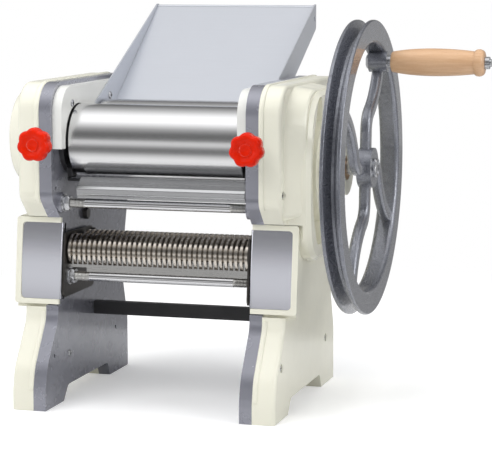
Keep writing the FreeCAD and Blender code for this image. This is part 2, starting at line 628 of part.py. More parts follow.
# ---------------------------------------------------------------- cutter cassette
# Thin end plates stand off the frames on short collars, one for the lower rod and one for the plate's bolt.
END_PLATE = [(-36, 109, 6), (50, 109, 8), (58, 118, 4), (58, 161, 4), (50, 173, 6), (-28, 175, 3)]
for side, name in SIDES:
    far_x = "end_plate_near + end_plate_thick"
    pieces = [plate(side, END_PLATE, "end_plate_near", far_x)]
    pieces.append(across(side, "rod_radius + collar_wall", far_x, "frame_inner", "lower_rod_y", "lower_rod_z"))
    pieces += [across(side, "bolt_radius + collar_wall", far_x, "frame_inner", y, z) for y, z in PLATE_BOLTS]
    through = ("end_plate_near - 1", "frame_inner + 1")
    holes = [across(side, "cutter_shaft_radius + running_gap", *through, y, "cutter_z")
             for y in ("cutter_front_y", "cutter_rear_y")]
    holes.append(across(side, "rod_radius", *through, "lower_rod_y", "lower_rod_z"))
    holes += [across(side, "bolt_radius", *through, y, z) for y, z in PLATE_BOLTS]
    sub_part(cut(fuse(*pieces), *holes), name + "_cutter_end_plate")

DISCS = int((2 * size["cutter_half"] - size["disc_width"]) // size["disc_pitch"]) + 1


def first_disc(count):
    """Left face of the first disc in a row that is centred on the middle plane."""
    return -((count - 1) * size["disc_pitch"] + size["disc_width"]) / 2


def comb(label, y, count):
    """Stripper: a strip between the end plates with a finger in every groove of its cutting roller."""
    strip = block("-end_plate_near", y, "comb_strip_low", "2 * end_plate_near", "comb_thick",
                  "comb_strip_high - comb_strip_low")
    band = block("-comb_band_left", y, "comb_band_low", "comb_band_left + comb_band_right", "comb_thick",
                 "comb_strip_low - comb_band_low + 1")
    pieces = [strip, band]
    groove = size["disc_pitch"] - size["disc_width"]
    for i in range(count - 1):
        x = first_disc(count) + i * size["disc_pitch"] + size["disc_width"] + (groove - size["finger_width"]) / 2
        pieces.append(block(x, y, "comb_strip_high - 1", "finger_width", "comb_thick",
                            "finger_top - comb_strip_high + 1"))
    return sub_part(fuse(*pieces), label)


comb("front_comb", "front_comb_y", DISCS)
comb("rear_comb", "rear_comb_y", DISCS - 1)

# ---------------------------------------------------------------- scrapers
# Each is an extrusion with a ribbed front: a leaning face, and a blade that reaches back under its roller.
BLADE_LOW = 229.4
SCRAPER = [(-37, 212), (-29, 212), (-29, 223.5, 2), (-24, BLADE_LOW), (-12.2, BLADE_LOW), (-12, 231.4),
           (-25.4, 232.3), (-36.5, 224), (-39, 221.6, 1.5), (-39, 216.4, 1.5), (-37, 214.4)]
sub_part(plate(1, SCRAPER, "-scraper_left", "scraper_right"), "front_scraper")
mirrored = [(size["rear_roller_y"] - corner[0],) + tuple(corner[1:]) for corner in reversed(SCRAPER)]
sub_part(plate(1, mirrored, "-frame_inner", "frame_inner"), "rear_scraper")

# An arm on each block's flange hangs down behind the roller's end and runs under the blade of the scraper.
ARM = [(-22, BLADE_LOW - 2), (-13, BLADE_LOW - 2), (-13, BLADE_LOW), (4, 240), (6, 251), (-16, 251), (-22, 240)]
brackets = []
for side in BOTH:
    under_blade = block(span(side, "scraper_grip", "bracket_near + 1"), -22, BLADE_LOW - 2,
                        "bracket_near + 1 - scraper_grip", 9, 2)
    arm = cut(plate(side, ARM, "bracket_near", "flange_inner"),
              block(span(side, "bracket_near - 1", "scraper_right"), -24, BLADE_LOW,
                    "scraper_right + 1 - bracket_near", 12, 3))
    brackets.append(fuse(arm, under_blade))
sub_part(group(*brackets), "front_scraper_brackets")

# ---------------------------------------------------------------- feed tray
# One folded sheet: a floor that rises to the back between two cheeks, with a rolled bead along its top edge.
# Notches in the lower edges of the cheeks rest on the rear tie rod.
FLOOR_LOW, FLOOR_HIGH = (107.5, 296), (257.5, 397)
slope = math.atan2(FLOOR_HIGH[1] - FLOOR_LOW[1], FLOOR_HIGH[0] - FLOOR_LOW[0])
thick_y = size["sheet_thick"] * math.sin(slope)
thick_z = size["sheet_thick"] * math.cos(slope)
FLOOR = [FLOOR_LOW, FLOOR_HIGH, (FLOOR_HIGH[0] - thick_y, FLOOR_HIGH[1] + thick_z),
         (FLOOR_LOW[0] - thick_y, FLOOR_LOW[1] + thick_z)]
CHEEK = [(104, 292.5, 6), (262, 374.5, 5), (262, 401.5), (257, 401.5, 4), (52, 303.5, 3), (50, 296, 3), (92, 292, 6)]
tray_pieces = [plate(1, FLOOR, "-tray_half", "tray_half")]
for side in BOTH:
    cheek = plate(side, CHEEK, "tray_half - sheet_thick", "tray_half")
    holes = [across(side, "screw_shank", "tray_half - 3", "tray_half + 1", "tray_screw_y", "tray_screw_z"),
             across(side, "tray_hole_radius", "tray_half - 3", "tray_half + 1", "tray_hole_y", "tray_hole_z"),
             across(side, "rod_radius", "tray_half - 3", "tray_half + 1", "rear_rod_y", "rear_rod_z")]
    tray_pieces.append(cut(cheek, *holes))
tray_pieces.append(bar("X", "bead_radius", "2 * tray_half", "-tray_half", "bead_y", "bead_z"))
sub_part(fuse(*tray_pieces), "feed_tray")
seat = "tray_half - sheet_thick"
sub_part(group(*[pan_screw(side, "pan_head_radius", seat + " - small_head_thick", seat, "guide_outer", True,
                           "tray_screw_y", "tray_screw_z") for side in BOTH]), "tray_screws")

# ---------------------------------------------------------------- sheeting rollers, their blocks and bushes


def roller(label, y, left_end, right_end):
    radius, half, edge = size["roller_radius"], size["roller_half"], size["roller_edge"]
    shoulder, journal, end = size["shoulder_radius"], size["journal_radius"], size["shoulder_end"]
    profile = [(-left_end, 0), (right_end, 0), (right_end, journal), (end, journal), (end, shoulder),
               (half, shoulder), (half, radius - edge), (half - edge, radius), (-half + edge, radius),
               (-half, radius - edge), (-half, shoulder), (-end, shoulder), (-end, journal), (-left_end, journal)]
    return sub_part(turned(profile, y, "roller_z"), label)


roller("front_roller", "0", size["journal_end"], size["short_journal_end"])
roller("rear_roller", "rear_roller_y", size["journal_end"], size["journal_end"])

bushes = []
for side, name in SIDES:
    slider_end = "frame_outer - 1"
    flange = across(side, "front_flange_radius", "flange_inner", "flange_outer", 0, "roller_z")
    slider = block(span(side, "flange_outer", slider_end), "-(block_depth / 2)", "roller_z - block_height / 2",
                   slider_end + " - flange_outer", "block_depth", "block_height")
    bore = across(side, "journal_radius + running_gap", "flange_inner - 1", "frame_outer", 0, "roller_z")
    sub_part(cut(fuse(flange, slider), bore), name + "_bearing_block")
    rear_axis = ("rear_roller_y", "roller_z")
    flange = across(side, "flange_radius", "flange_inner", "frame_inner", *rear_axis)
    barrel = across(side, "barrel_radius", "frame_inner", "frame_outer", *rear_axis)
    bore = across(side, "journal_radius + running_gap", "flange_inner - 1", "frame_outer + 1", *rear_axis)
    bushes.append(cut(fuse(flange, barrel), bore))
sub_part(group(*bushes), "rear_roller_bushes")

# ---------------------------------------------------------------- gears
# Involute spur gears with a little backlash. The hand wheel's pinion drives the rear roller and, over the
# idler, the front cutting roller; on the left a pair of equal gears couples each pair of rollers.
PRESSURE = math.radians(25)
BACKLASH = 0.15
ADDENDUM, FLANK_STEPS = 0.8, 4
PINION_TEETH, ROLLER_TEETH, IDLER_TEETH, CUTTER_TEETH = 12, 38, 35, 16
ROLLER_MESH_TEETH, CUTTER_MESH_TEETH = 30, 22
TRAIN_MODULE, ROLLER_MESH_MODULE, CUTTER_MESH_MODULE = 2, 2.5, 1.5


def involute(angle):
    return math.tan(angle) - angle


def gear_shape(module, teeth, bore, phase, width):
    """Spur gear along +X from the origin; phase is the angle of one tooth's middle from +Y towards +Z."""
    pitch = module * teeth / 2
    base = pitch * math.cos(PRESSURE)
    tip, root = pitch + ADDENDUM * module, pitch - module
    half_at_pitch = math.pi / (2 * teeth) - BACKLASH / (4 * pitch)

    def half_angle(radius):
        if radius <= base:
            return half_at_pitch + involute(PRESSURE)
        return half_at_pitch + involute(PRESSURE) - involute(math.acos(base / radius))

    def at(radius, angle):
        return Vector(0, radius * math.cos(angle), radius * math.sin(angle))

    start = max(base, root)
    radii = [start + (tip - start) * k / FLANK_STEPS for k in range(FLANK_STEPS + 1)]
    edges = []
    step = 2 * math.pi / teeth
    for tooth in range(teeth):
        middle = phase + tooth * step
        up = [at(r, middle - half_angle(r)) for r in radii]
        down = [at(r, middle + half_angle(r)) for r in reversed(radii)]
        foot_in, foot_out = at(root, middle - half_angle(start)), at(root, middle + half_angle(start))
        following = at(root, middle + step - half_angle(start))
        if root < base:
            edges += [Part.makeLine(foot_in, up[0]), Part.makeLine(down[-1], foot_out)]
        for flank in (up, down):
            curve = Part.BSplineCurve()
            curve.interpolate(flank)
            edges.append(curve.toShape())
        edges.append(Part.Arc(up[-1], at(tip, middle), down[0]).toShape())
        edges.append(Part.Arc(foot_out, at(root, middle + step / 2), following).toShape())
    profile = Part.Face(Part.Wire(Part.__sortEdges__(edges)))
    disc = profile.extrude(Vector(width, 0, 0))
    return disc.cut(Part.makeCylinder(bore, width, Vector(), Vector(1, 0, 0)))


def mesh_phase(teeth, phase, towards, other_teeth):
    """Phase of a gear that meshes with another, found across the line between their axes."""
    return towards + math.pi + (math.pi - teeth * (phase - towards)) / other_teeth


def direction(y_from, z_from, y_to, z_to):
    return math.atan2(size[z_to] - size[z_from], size[y_to] - size[y_from])


def gear(label, module, teeth, bore, phase, side, y, z):
    thing = doc.addObject("Part::Feature", "gear")
    thing.Shape = gear_shape(module, teeth, bore, phase, size["gear_width"])
    thing.Placement = Placement()
    bind(thing, Placement__Base__x=span(side, "gear_near", "gear_near + gear_width"),
         Placement__Base__y=y, Placement__Base__z=z)
    return sub_part(thing, label)


def mesh_pair(kind, module, teeth, bore, front_y, rear_y, z):
    """Two equal gears on the left, on axes at one height."""
    gear("front_" + kind, module, teeth, bore, 0, -1, front_y, z)
    gear("rear_" + kind, module, teeth, bore, mesh_phase(teeth, 0, 0, teeth), -1, rear_y, z)


mesh_pair("mesh_gear", ROLLER_MESH_MODULE, ROLLER_MESH_TEETH, size["journal_radius"], "0", "rear_roller_y", "roller_z")
mesh_pair("cutter_gear", CUTTER_MESH_MODULE, CUTTER_MESH_TEETH, size["cutter_shaft_radius"], "cutter_front_y",
          "cutter_rear_y", "cutter_z")
pinion_phase = direction("shaft_y", "shaft_z", "rear_roller_y", "roller_z")
roller_phase = mesh_phase(PINION_TEETH, pinion_phase, pinion_phase, ROLLER_TEETH)
to_idler = direction("shaft_y", "shaft_z", "idler_y", "idler_z")
idler_phase = mesh_phase(PINION_TEETH, pinion_phase, to_idler, IDLER_TEETH)
to_cutter = direction("idler_y", "idler_z", "cutter_front_y", "cutter_z")
cutter_phase = mesh_phase(IDLER_TEETH, idler_phase, to_cutter, CUTTER_TEETH)
idler_bore = size["idler_axle_radius"] + size["running_gap"]
gear("drive_pinion", TRAIN_MODULE, PINION_TEETH, size["shaft_radius"], pinion_phase, 1, "shaft_y", "shaft_z")
gear("rear_roller_gear", TRAIN_MODULE, ROLLER_TEETH, size["journal_radius"], roller_phase, 1,
     "rear_roller_y", "roller_z")
gear("idler_gear", TRAIN_MODULE, IDLER_TEETH, idler_bore, idler_phase, 1, "idler_y", "idler_z")
gear("cutter_drive_gear", TRAIN_MODULE, CUTTER_TEETH, size["cutter_shaft_radius"], cutter_phase, 1,
     "cutter_front_y", "cutter_z")
axle = across(1, "idler_axle_radius", "frame_inner", "idler_axle_end", "idler_y", "idler_z")
axle_head = across(1, "idler_head_radius", "idler_axle_end", "idler_axle_end + idler_head_thick", "idler_y", "idler_z")
sub_part(fuse(axle, axle_head), "idler_axle")

# ---------------------------------------------------------------- cutting rollers


def cutter(label, y, count, right_end):
    """Core with stub shafts and a row of slitting discs."""
    half, core, shaft = size["cutter_half"], size["core_radius"], size["cutter_shaft_radius"]
    neck, neck_end, left_end = size["neck_radius_cutter"], size["neck_end_cutter"], size["cutter_shaft_end"]
    body = turned([(-left_end, 0), (right_end, 0), (right_end, shaft), (neck_end, shaft), (neck_end, neck),
                   (half, neck), (half, core), (-half, core), (-half, neck), (-neck_end, neck), (-neck_end, shaft),
                   (-left_end, shaft)], y, "cutter_z")
    discs = [bar("X", "disc_radius", "disc_width", first_disc(count) + i * size["disc_pitch"], y, "cutter_z")
             for i in range(count)]
    return sub_part(fuse(body, *discs), label)


cutter("front_cutter", "cutter_front_y", DISCS, size["cutter_shaft_end"])
cutter("rear_cutter", "cutter_rear_y", DISCS - 1, size["short_journal_end"])
bushes = [ring(side, "bush_radius", "cutter_shaft_radius + running_gap", "frame_inner", "frame_outer", y, "cutter_z")
          for side in BOTH for y in ("cutter_front_y", "cutter_rear_y")]
sub_part(group(*bushes), "cutter_bushes")

# ---------------------------------------------------------------- knobs and adjusting screws of the front roller
for side, name in SIDES:
    x = "screw_x" if side > 0 else "-screw_x"
    knob = [bar("Y", "knob_radius", "knob_back - knob_front", x, "knob_front", "roller_z"),
            bar("Y", "neck_radius", "knob_neck - knob_back", x, "knob_back", "roller_z")]
    for lobe in range(size["lobes"]):
        angle = 2 * math.pi * lobe / size["lobes"] + math.pi / 2
        lobe_x = "%s + %.4f" % (x, size["lobe_ring"] * math.cos(angle))
        lobe_z = "roller_z + %.4f" % (size["lobe_ring"] * math.sin(angle))
        knob.append(bar("Y", "lobe_radius", "knob_back - knob_front", lobe_x, "knob_front", lobe_z))
    screw_start = "knob_front + knob_wall"
    bore = bar("Y", "screw_radius", "knob_neck - (%s)" % screw_start, x, screw_start, "roller_z")
    sub_part(cut(fuse(*knob), bore), name + "_knob")
    sub_part(bar("Y", "screw_radius", "-(block_depth / 2) - (%s)" % screw_start, x, screw_start, "roller_z"),
             name + "_adjusting_screw")
collars = []
for x in ("screw_x", "-screw_x"):
    collar = bar("Y", "collar_radius", "frame_front - collar_front", x, "collar_front", "roller_z")
    collar_bore = bar("Y", "screw_radius + screw_gap", "frame_front - collar_front", x, "collar_front", "roller_z")
    collars.append(cut(collar, collar_bore))
sub_part(group(*collars), "adjusting_screw_collars")

# ---------------------------------------------------------------- hand wheel
near_x, far_x = size["wheel_near"], size["wheel_near"] + size["wheel_width"]
middle_x = (near_x + far_x) / 2
top, inner, groove = size["wheel_radius"], size["rim_inner"], size["groove_radius"]
flange_top, floor_half = size["flange_top"], size["groove_floor"] / 2
# Corners of the rim's section as (x, radius from the axis, corner radius).
RIM = [(near_x, inner, 4.5), (far_x, inner, 4.5), (far_x, top, 1.6), (far_x - flange_top, top, 1),
       (middle_x + floor_half, groove, 0.8), (middle_x - floor_half, groove, 0.8), (near_x + flange_top, top, 1),
       (near_x, top, 1.6)]
BEND_RADIUS, BEND_Z, COUNTER_RADIUS = 22.0, 36.0, 90.0
LEAN, LEAVE, ARRIVE = math.radians(90), math.radians(28), math.radians(77)
SPOKES, FIRST_SPOKE, SPOKE_START, RIM_BITE = 4, math.radians(-3), 10, 3


def spoke_outline():
    """S-shaped spoke in the wheel's own Y and Z: straight out of the hub, a bend and a long counter-bend."""
    turn_y = BEND_RADIUS - BEND_RADIUS * math.sin(LEAVE)
    turn_z = BEND_Z + BEND_RADIUS * math.cos(LEAVE)
    counter_y = turn_y - COUNTER_RADIUS * math.sin(LEAVE)
    counter_z = turn_z + COUNTER_RADIUS * math.cos(LEAVE)

    def on_bend(angle, radius):
        return Vector(0, BEND_RADIUS - radius * math.sin(angle), BEND_Z + radius * math.cos(angle))

    def on_counter(angle, radius):
        return Vector(0, counter_y + radius * math.sin(angle), counter_z - radius * math.cos(angle))

    def flank(offset):
        start = Vector(0, -offset, SPOKE_START)
        a = on_bend(LEAN, BEND_RADIUS + offset)
        b = on_bend((LEAN + LEAVE) / 2, BEND_RADIUS + offset)
        c = on_bend(LEAVE, BEND_RADIUS + offset)
        d = on_counter((LEAVE + ARRIVE) / 2, COUNTER_RADIUS - offset)
        e = on_counter(ARRIVE, COUNTER_RADIUS - offset)
        return start, e, [Part.makeLine(start, a), Part.Arc(a, b, c).toShape(), Part.Arc(c, d, e).toShape()]

    half = size["spoke_width"] / 2
    start, end, edges = flank(half)
    other_start, other_end, other_edges = flank(-half)
    closing = [Part.makeLine(start, other_start), Part.makeLine(end, other_end)]
    return Part.Face(Part.Wire(Part.__sortEdges__(edges + other_edges + closing)))


def hand_wheel():
    """Cast wheel: grooved rim, hub, four spokes and the boss that carries the crank grip."""
    axis = Vector(1, 0, 0)
    spoke = spoke_outline().extrude(axis * size["spoke_thick"])
    long_edges = [edge for edge in spoke.Edges if near(edge.BoundBox.XLength, 0) and edge.Length > size["spoke_width"] + 1]
    spoke = spoke.makeFillet(size["spoke_round"], long_edges)
    spoke.translate(axis * size["spoke_near"])
    within_rim = Part.makeCylinder(inner + RIM_BITE, size["wheel_width"], axis * near_x, axis)
    spoke = spoke.common(within_rim)
    pieces = []
    for number in range(SPOKES):
        one = spoke.copy()
        one.rotate(Vector(), axis, math.degrees(FIRST_SPOKE + number * 2 * math.pi / SPOKES))
        pieces.append(one)
    crank = math.radians(size["crank_angle"])
    crank_centre = Vector(0, size["crank_radius"] * math.cos(crank), size["crank_radius"] * math.sin(crank))

    def stub(radius, start, end, centre=Vector()):
        return Part.makeCylinder(radius, end - start, centre + axis * start, axis)

    pieces.append(stub(size["hub_radius"], size["hub_near"], size["hub_far"]))
    pieces.append(stub(size["crank_boss_radius"], size["crank_boss_near"], size["crank_boss_far"], crank_centre))
    rim = Part.Face(rounded_wire(RIM, lambda x, radius: Vector(x, radius, 0))).revolve(Vector(), axis, 360)
    wheel = rim.multiFuse(pieces)
    wheel = wheel.cut(stub(size["shaft_radius"], near_x, far_x + 10))
    wheel = wheel.cut(stub(size["pin_radius"], near_x - 10, far_x + 10, crank_centre))
    return wheel.removeSplitter()


wheel = doc.addObject("Part::Feature", "wheel")
wheel.Shape = hand_wheel()
wheel.Placement = Placement()
bind(wheel, Placement__Base__y="shaft_y", Placement__Base__z="shaft_z")
sub_part(wheel, "hand_wheel")

AXIS = ("shaft_y", "shaft_z")
sub_part(across(1, "shaft_radius", "shaft_near", "shaft_far", *AXIS), "drive_shaft")
sub_part(group(ring(1, "shaft_bush_radius", "shaft_radius + running_gap", "frame_inner", "shaft_bush_end", *AXIS),
               ring(1, "outer_bush_radius", "shaft_radius + running_gap", "outer_bush_near", "shaft_boss_outer", *AXIS)),
         "drive_shaft_bushes")
nut_end = "hub_far + wheel_nut_thick"
sub_part(cut(hexagon(1, "wheel_nut_radius", "hub_far", nut_end, *AXIS),
             across(1, "shaft_radius", "hub_far", nut_end, *AXIS)), "wheel_nut")

# ---------------------------------------------------------------- crank
# A long bolt through the wheel's boss, a collar, the turned grip and a round nut.
crank = math.radians(size["crank_angle"])
store("crank_y", size["shaft_y"] + size["crank_radius"] * math.cos(crank))
store("crank_z", size["shaft_z"] + size["crank_radius"] * math.sin(crank))
CRANK = ("crank_y", "crank_z")
sub_part(fuse(across(1, "pin_radius", "pin_near", "pin_end", *CRANK),
              hexagon(1, "pin_head_radius", "pin_near", "crank_boss_near", *CRANK)), "crank_bolt")
collar_end = "crank_boss_far + crank_collar_thick"
sub_part(ring(1, "crank_collar_radius", "pin_radius", "crank_boss_far", collar_end, *CRANK), "crank_collar")
GRIP_BORE = size["pin_radius"] + 0.1
GRIP = [(217, GRIP_BORE), (312, GRIP_BORE), (312, 11.5), (310, 13.2), (303, 13.4), (301.5, 11.6), (299, 12.0),
        (282, 13.4), (258, 14), (236, 13.2), (222, 11.4), (217, 10.4)]
sub_part(turned(GRIP, "crank_y", "crank_z"), "crank_grip")
nut_end = "crank_nut_near + crank_nut_thick"
sub_part(ring(1, "crank_nut_radius", "pin_radius", "crank_nut_near", nut_end, *CRANK), "crank_nut")

# ---------------------------------------------------------------- check, place and write
doc.recompute()
for thing in SUB_PARTS:
    base = thing.Placement.Base
    own = dict(thing.ExpressionEngine)
    for letter in ("x", "y"):
        path = "Placement.Base." + letter
        start = "(%s)" % own[path] if path in own else repr(getattr(base, letter))
        thing.setExpression(path, "%s - %s" % (start, formula("origin_" + letter)))
doc.recompute()

failed = [thing.Label for thing in doc.Objects if "Invalid" in thing.State or "Error" in thing.State]
if failed:
    raise SystemExit("failed objects: %s" % failed)
for thing in SUB_PARTS:
    if thing.Shape.isNull() or not thing.Shape.isValid() or not thing.Shape.Solids:
        raise SystemExit("bad shape: " + thing.Label)
os.makedirs("parts", exist_ok=True)
whole = FreeCAD.BoundBox()
for thing in SUB_PARTS:
    whole.add(thing.Shape.BoundBox)
    thing.Shape.exportStep("parts/%s.step" % thing.Label)
print(len(SUB_PARTS), "sub-parts, box", whole)
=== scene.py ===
"""Hand-cranked noodle machine: the finish of every part, and the small parts modelled as they are made."""
import math

import bmesh
import bpy
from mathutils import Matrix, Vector


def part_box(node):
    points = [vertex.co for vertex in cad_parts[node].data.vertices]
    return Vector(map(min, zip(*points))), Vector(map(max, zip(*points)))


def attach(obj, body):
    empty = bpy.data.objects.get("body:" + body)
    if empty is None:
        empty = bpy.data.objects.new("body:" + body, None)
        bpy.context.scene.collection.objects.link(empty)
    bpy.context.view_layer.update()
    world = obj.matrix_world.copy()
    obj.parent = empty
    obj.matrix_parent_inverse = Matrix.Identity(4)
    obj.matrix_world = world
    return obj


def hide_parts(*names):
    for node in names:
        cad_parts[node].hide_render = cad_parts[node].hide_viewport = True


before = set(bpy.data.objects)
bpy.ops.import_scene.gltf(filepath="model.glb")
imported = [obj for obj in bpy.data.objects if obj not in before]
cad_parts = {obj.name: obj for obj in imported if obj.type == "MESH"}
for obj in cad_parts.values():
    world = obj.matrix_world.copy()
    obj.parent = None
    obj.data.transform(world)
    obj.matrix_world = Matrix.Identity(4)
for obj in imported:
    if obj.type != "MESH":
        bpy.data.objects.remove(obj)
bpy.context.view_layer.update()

# ---------------------------------------------------------------- side frames
# Two cast plates, 13 mm thick, that carry every axle. They are sprayed with a satin blue-grey enamel, which
# pulls a little thin along the edges and shows the faint ripple of the casting under it. The edges are
# painted paler, for that thin coat and as a painted highlight.


def chip(red, green, blue):
    """Colour of a paint chip, 0 to 255 a channel, as linear light."""
    def linear(value):
        value /= 255
        return value / 12.92 if value <= 0.04045 else ((value + 0.055) / 1.055) ** 2.4
    return (linear(red), linear(green), linear(blue), 1)


def toned(colour, share):
    """The same colour, lighter or darker by a share."""
    return [min(1.0, value * share) for value in colour[:3]] + [1]


def add_node(tree, kind, inputs=(), **settings):
    """Add a shader node; inputs are values or sockets by name or number."""
    made = tree.nodes.new("ShaderNode" + kind)
    for name, value in settings.items():
        setattr(made, name, value)
    for key, value in dict(inputs).items():
        if isinstance(value, bpy.types.NodeSocket):
            tree.links.new(value, made.inputs[key])
        else:
            made.inputs[key].default_value = value
    return made


def new_group(name, inputs, output):
    """Node group with float or vector inputs and one output; returns it with its two end nodes."""
    group = bpy.data.node_groups.new(name, "ShaderNodeTree")
    for label, kind in inputs:
        group.interface.new_socket(label, in_out="INPUT", socket_type="NodeSocket" + kind)
    group.interface.new_socket(output, in_out="OUTPUT", socket_type="NodeSocketFloat")
    return group, group.nodes.new("NodeGroupInput"), group.nodes.new("NodeGroupOutput")


def clouds_group():
    """Soft cloudy mask in the part's own space, for uneven gloss and colour."""
    group, ends, result = new_group("clouds", [("Scale", "Float"), ("Contrast", "Float")], "Mask")
    place = add_node(group, "TexCoord").outputs["Object"]
    noise = add_node(group, "TexNoise", {"Vector": place, "Scale": ends.outputs["Scale"], "Detail": 3.0})
    centred = add_node(group, "Math", {0: noise.outputs["Fac"], 1: 0.5}, operation="SUBTRACT")
    spread = add_node(group, "Math", {0: centred.outputs[0], 1: ends.outputs["Contrast"], 2: 0.5},
                      operation="MULTIPLY_ADD", use_clamp=True)
    group.links.new(spread.outputs[0], result.inputs["Mask"])
    return group


def grain_group():
    """Streaks drawn out by a stretched scale, for brushed, ground or sawn surfaces."""
    group, ends, result = new_group("grain", [("Stretch", "Vector"), ("Detail", "Float")], "Height")
    place = add_node(group, "TexCoord").outputs["Object"]
    stretched = add_node(group, "VectorMath", {0: place, 1: ends.outputs["Stretch"]}, operation="MULTIPLY")
    noise = add_node(group, "TexNoise", {"Vector": stretched.outputs[0], "Scale": 1.0,
                                         "Detail": ends.outputs["Detail"], "Roughness": 0.6})
    group.links.new(noise.outputs["Fac"], result.inputs["Height"])
    return group


def edge_wear_and_highlight_group():
    """Mask of the outside edges, where handling thins a finish and a painted highlight is laid, broken up by
    noise.
    """
    group, ends, result = new_group("edges", [("Radius", "Float"), ("Amount", "Float")], "Mask")
    rounded = add_node(group, "Bevel", {"Radius": ends.outputs["Radius"]}, samples=4)
    normal = add_node(group, "NewGeometry").outputs["Normal"]
    match = add_node(group, "VectorMath", {0: rounded.outputs["Normal"], 1: normal}, operation="DOT_PRODUCT")
    bent = add_node(group, "Math", {0: 1.0, 1: match.outputs["Value"]}, operation="SUBTRACT")
    place = add_node(group, "TexCoord").outputs["Object"]
    noise = add_node(group, "TexNoise", {"Vector": place, "Scale": 260.0, "Detail": 4.0})
    broken = add_node(group, "Math", {0: bent.outputs[0], 1: noise.outputs["Fac"]}, operation="MULTIPLY")
    mask = add_node(group, "Math", {0: broken.outputs[0], 1: ends.outputs["Amount"]}, operation="MULTIPLY",
                    use_clamp=True)
    group.links.new(mask.outputs[0], result.inputs["Mask"])
    return group


def recess_shade_group():
    """Mask of slots, thread roots and other narrow recesses, darkened in the colour as painted shade."""
    group, ends, result = new_group("recesses", [("Reach", "Float"), ("Amount", "Float")], "Mask")
    # Ambient occlusion turned into a mask: painted shade in the recesses.
    open_share = add_node(group, "AmbientOcclusion", {"Distance": ends.outputs["Reach"]}, samples=6,
                          only_local=True).outputs["AO"]
    shut = add_node(group, "Math", {0: 1.0, 1: open_share}, operation="SUBTRACT")
    mask = add_node(group, "Math", {0: shut.outputs[0], 1: ends.outputs["Amount"]}, operation="MULTIPLY",
                    use_clamp=True)
    group.links.new(mask.outputs[0], result.inputs["Mask"])
    return group


CLOUDS, GRAIN, EDGE_WEAR_AND_HIGHLIGHT, PAINTED_RECESS_SHADE = clouds_group(), grain_group(), edge_wear_and_highlight_group(), recess_shade_group()


def use_group(tree, group, **inputs):
    """Place a node group with its own values and give its one output."""
    placed = tree.nodes.new("ShaderNodeGroup")
    placed.node_tree = group
    for name, value in inputs.items():
        placed.inputs[name].default_value = value
    return placed.outputs[0]


def mix_colours(tree, mask, first, second):
    mixed = add_node(tree, "Mix", {"Factor": mask, 6: first, 7: second}, data_type="RGBA")
    return mixed.outputs[2]


def spread(tree, mask, low, high):
    """Map a mask to a range of values."""
    return add_node(tree, "MapRange", {"Value": mask, "To Min": low, "To Max": high}).outputs[0]


def bump(tree, height, depth, under=None):
    """Surface relief of a given depth in metres, over another relief if there is one."""
    inputs = {"Height": height, "Strength": 1.0, "Distance": depth}
    if under:
        inputs["Normal"] = under
    return add_node(tree, "Bump", inputs).outputs[0]


def new_material(name):
    """Material with its own Principled shader; returns the material, its tree and the shader's inputs."""
    material = bpy.data.materials.new(name)
    material.use_nodes = True
    tree = material.node_tree
    return material, tree, tree.nodes["Principled BSDF"].inputs


def paint(name, colour, worn_and_highlit, roughness, coat=0.0, ripple=0.00002, edge=3.0, flake=0.0):
    """Sprayed enamel, with metal flake if wanted: uneven gloss, orange peel, edges paler for a thin coat and
    as a painted highlight.
    """
    material, tree, shader = new_material(name)
    cloud = use_group(tree, CLOUDS, Scale=14.0, Contrast=2.0)
    tone = mix_colours(tree, cloud, toned(colour, 0.93), colour)
    # Paler edges: worn thin coat and painted highlight.
    edges = use_group(tree, EDGE_WEAR_AND_HIGHLIGHT, Radius=0.0012, Amount=edge)
    tree.links.new(mix_colours(tree, edges, tone, worn_and_highlit), shader["Base Color"])
    peel = use_group(tree, CLOUDS, Scale=420.0, Contrast=1.5)
    tree.links.new(spread(tree, use_group(tree, CLOUDS, Scale=60.0, Contrast=2.0),
                          roughness * 0.8, roughness * 1.25), shader["Roughness"])
    tree.links.new(bump(tree, peel, ripple), shader["Normal"])
    shader["Metallic"].default_value = flake
    shader["Coat Weight"].default_value = coat
    shader["Coat Roughness"].default_value = 0.1
    return material


def dress(material, *names):
    """Give CAD parts their finish."""
    for name in names:
        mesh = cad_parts[name].data
        mesh.materials.clear()
        mesh.materials.append(material)


FRAME_GREY = chip(146, 147, 157)
frame_paint = paint("frame_enamel", FRAME_GREY, chip(174, 175, 182), 0.25, coat=0.7, flake=0.4)
dress(frame_paint, "left_side_frame", "right_side_frame")

# ---------------------------------------------------------------- tie rods
# Three bright drawn steel rods hold the frames apart. Each has a rolled thread at both ends and a hexagon
# nut outside each frame. Inner nuts sit on washers; the two front rods have one on the left only and screw
# into the right frame.


# Near-black colour of the painted shade laid into recesses.
RECESS_SHADE_COLOUR = chip(26, 23, 21)
RECESS_REACH = 0.002


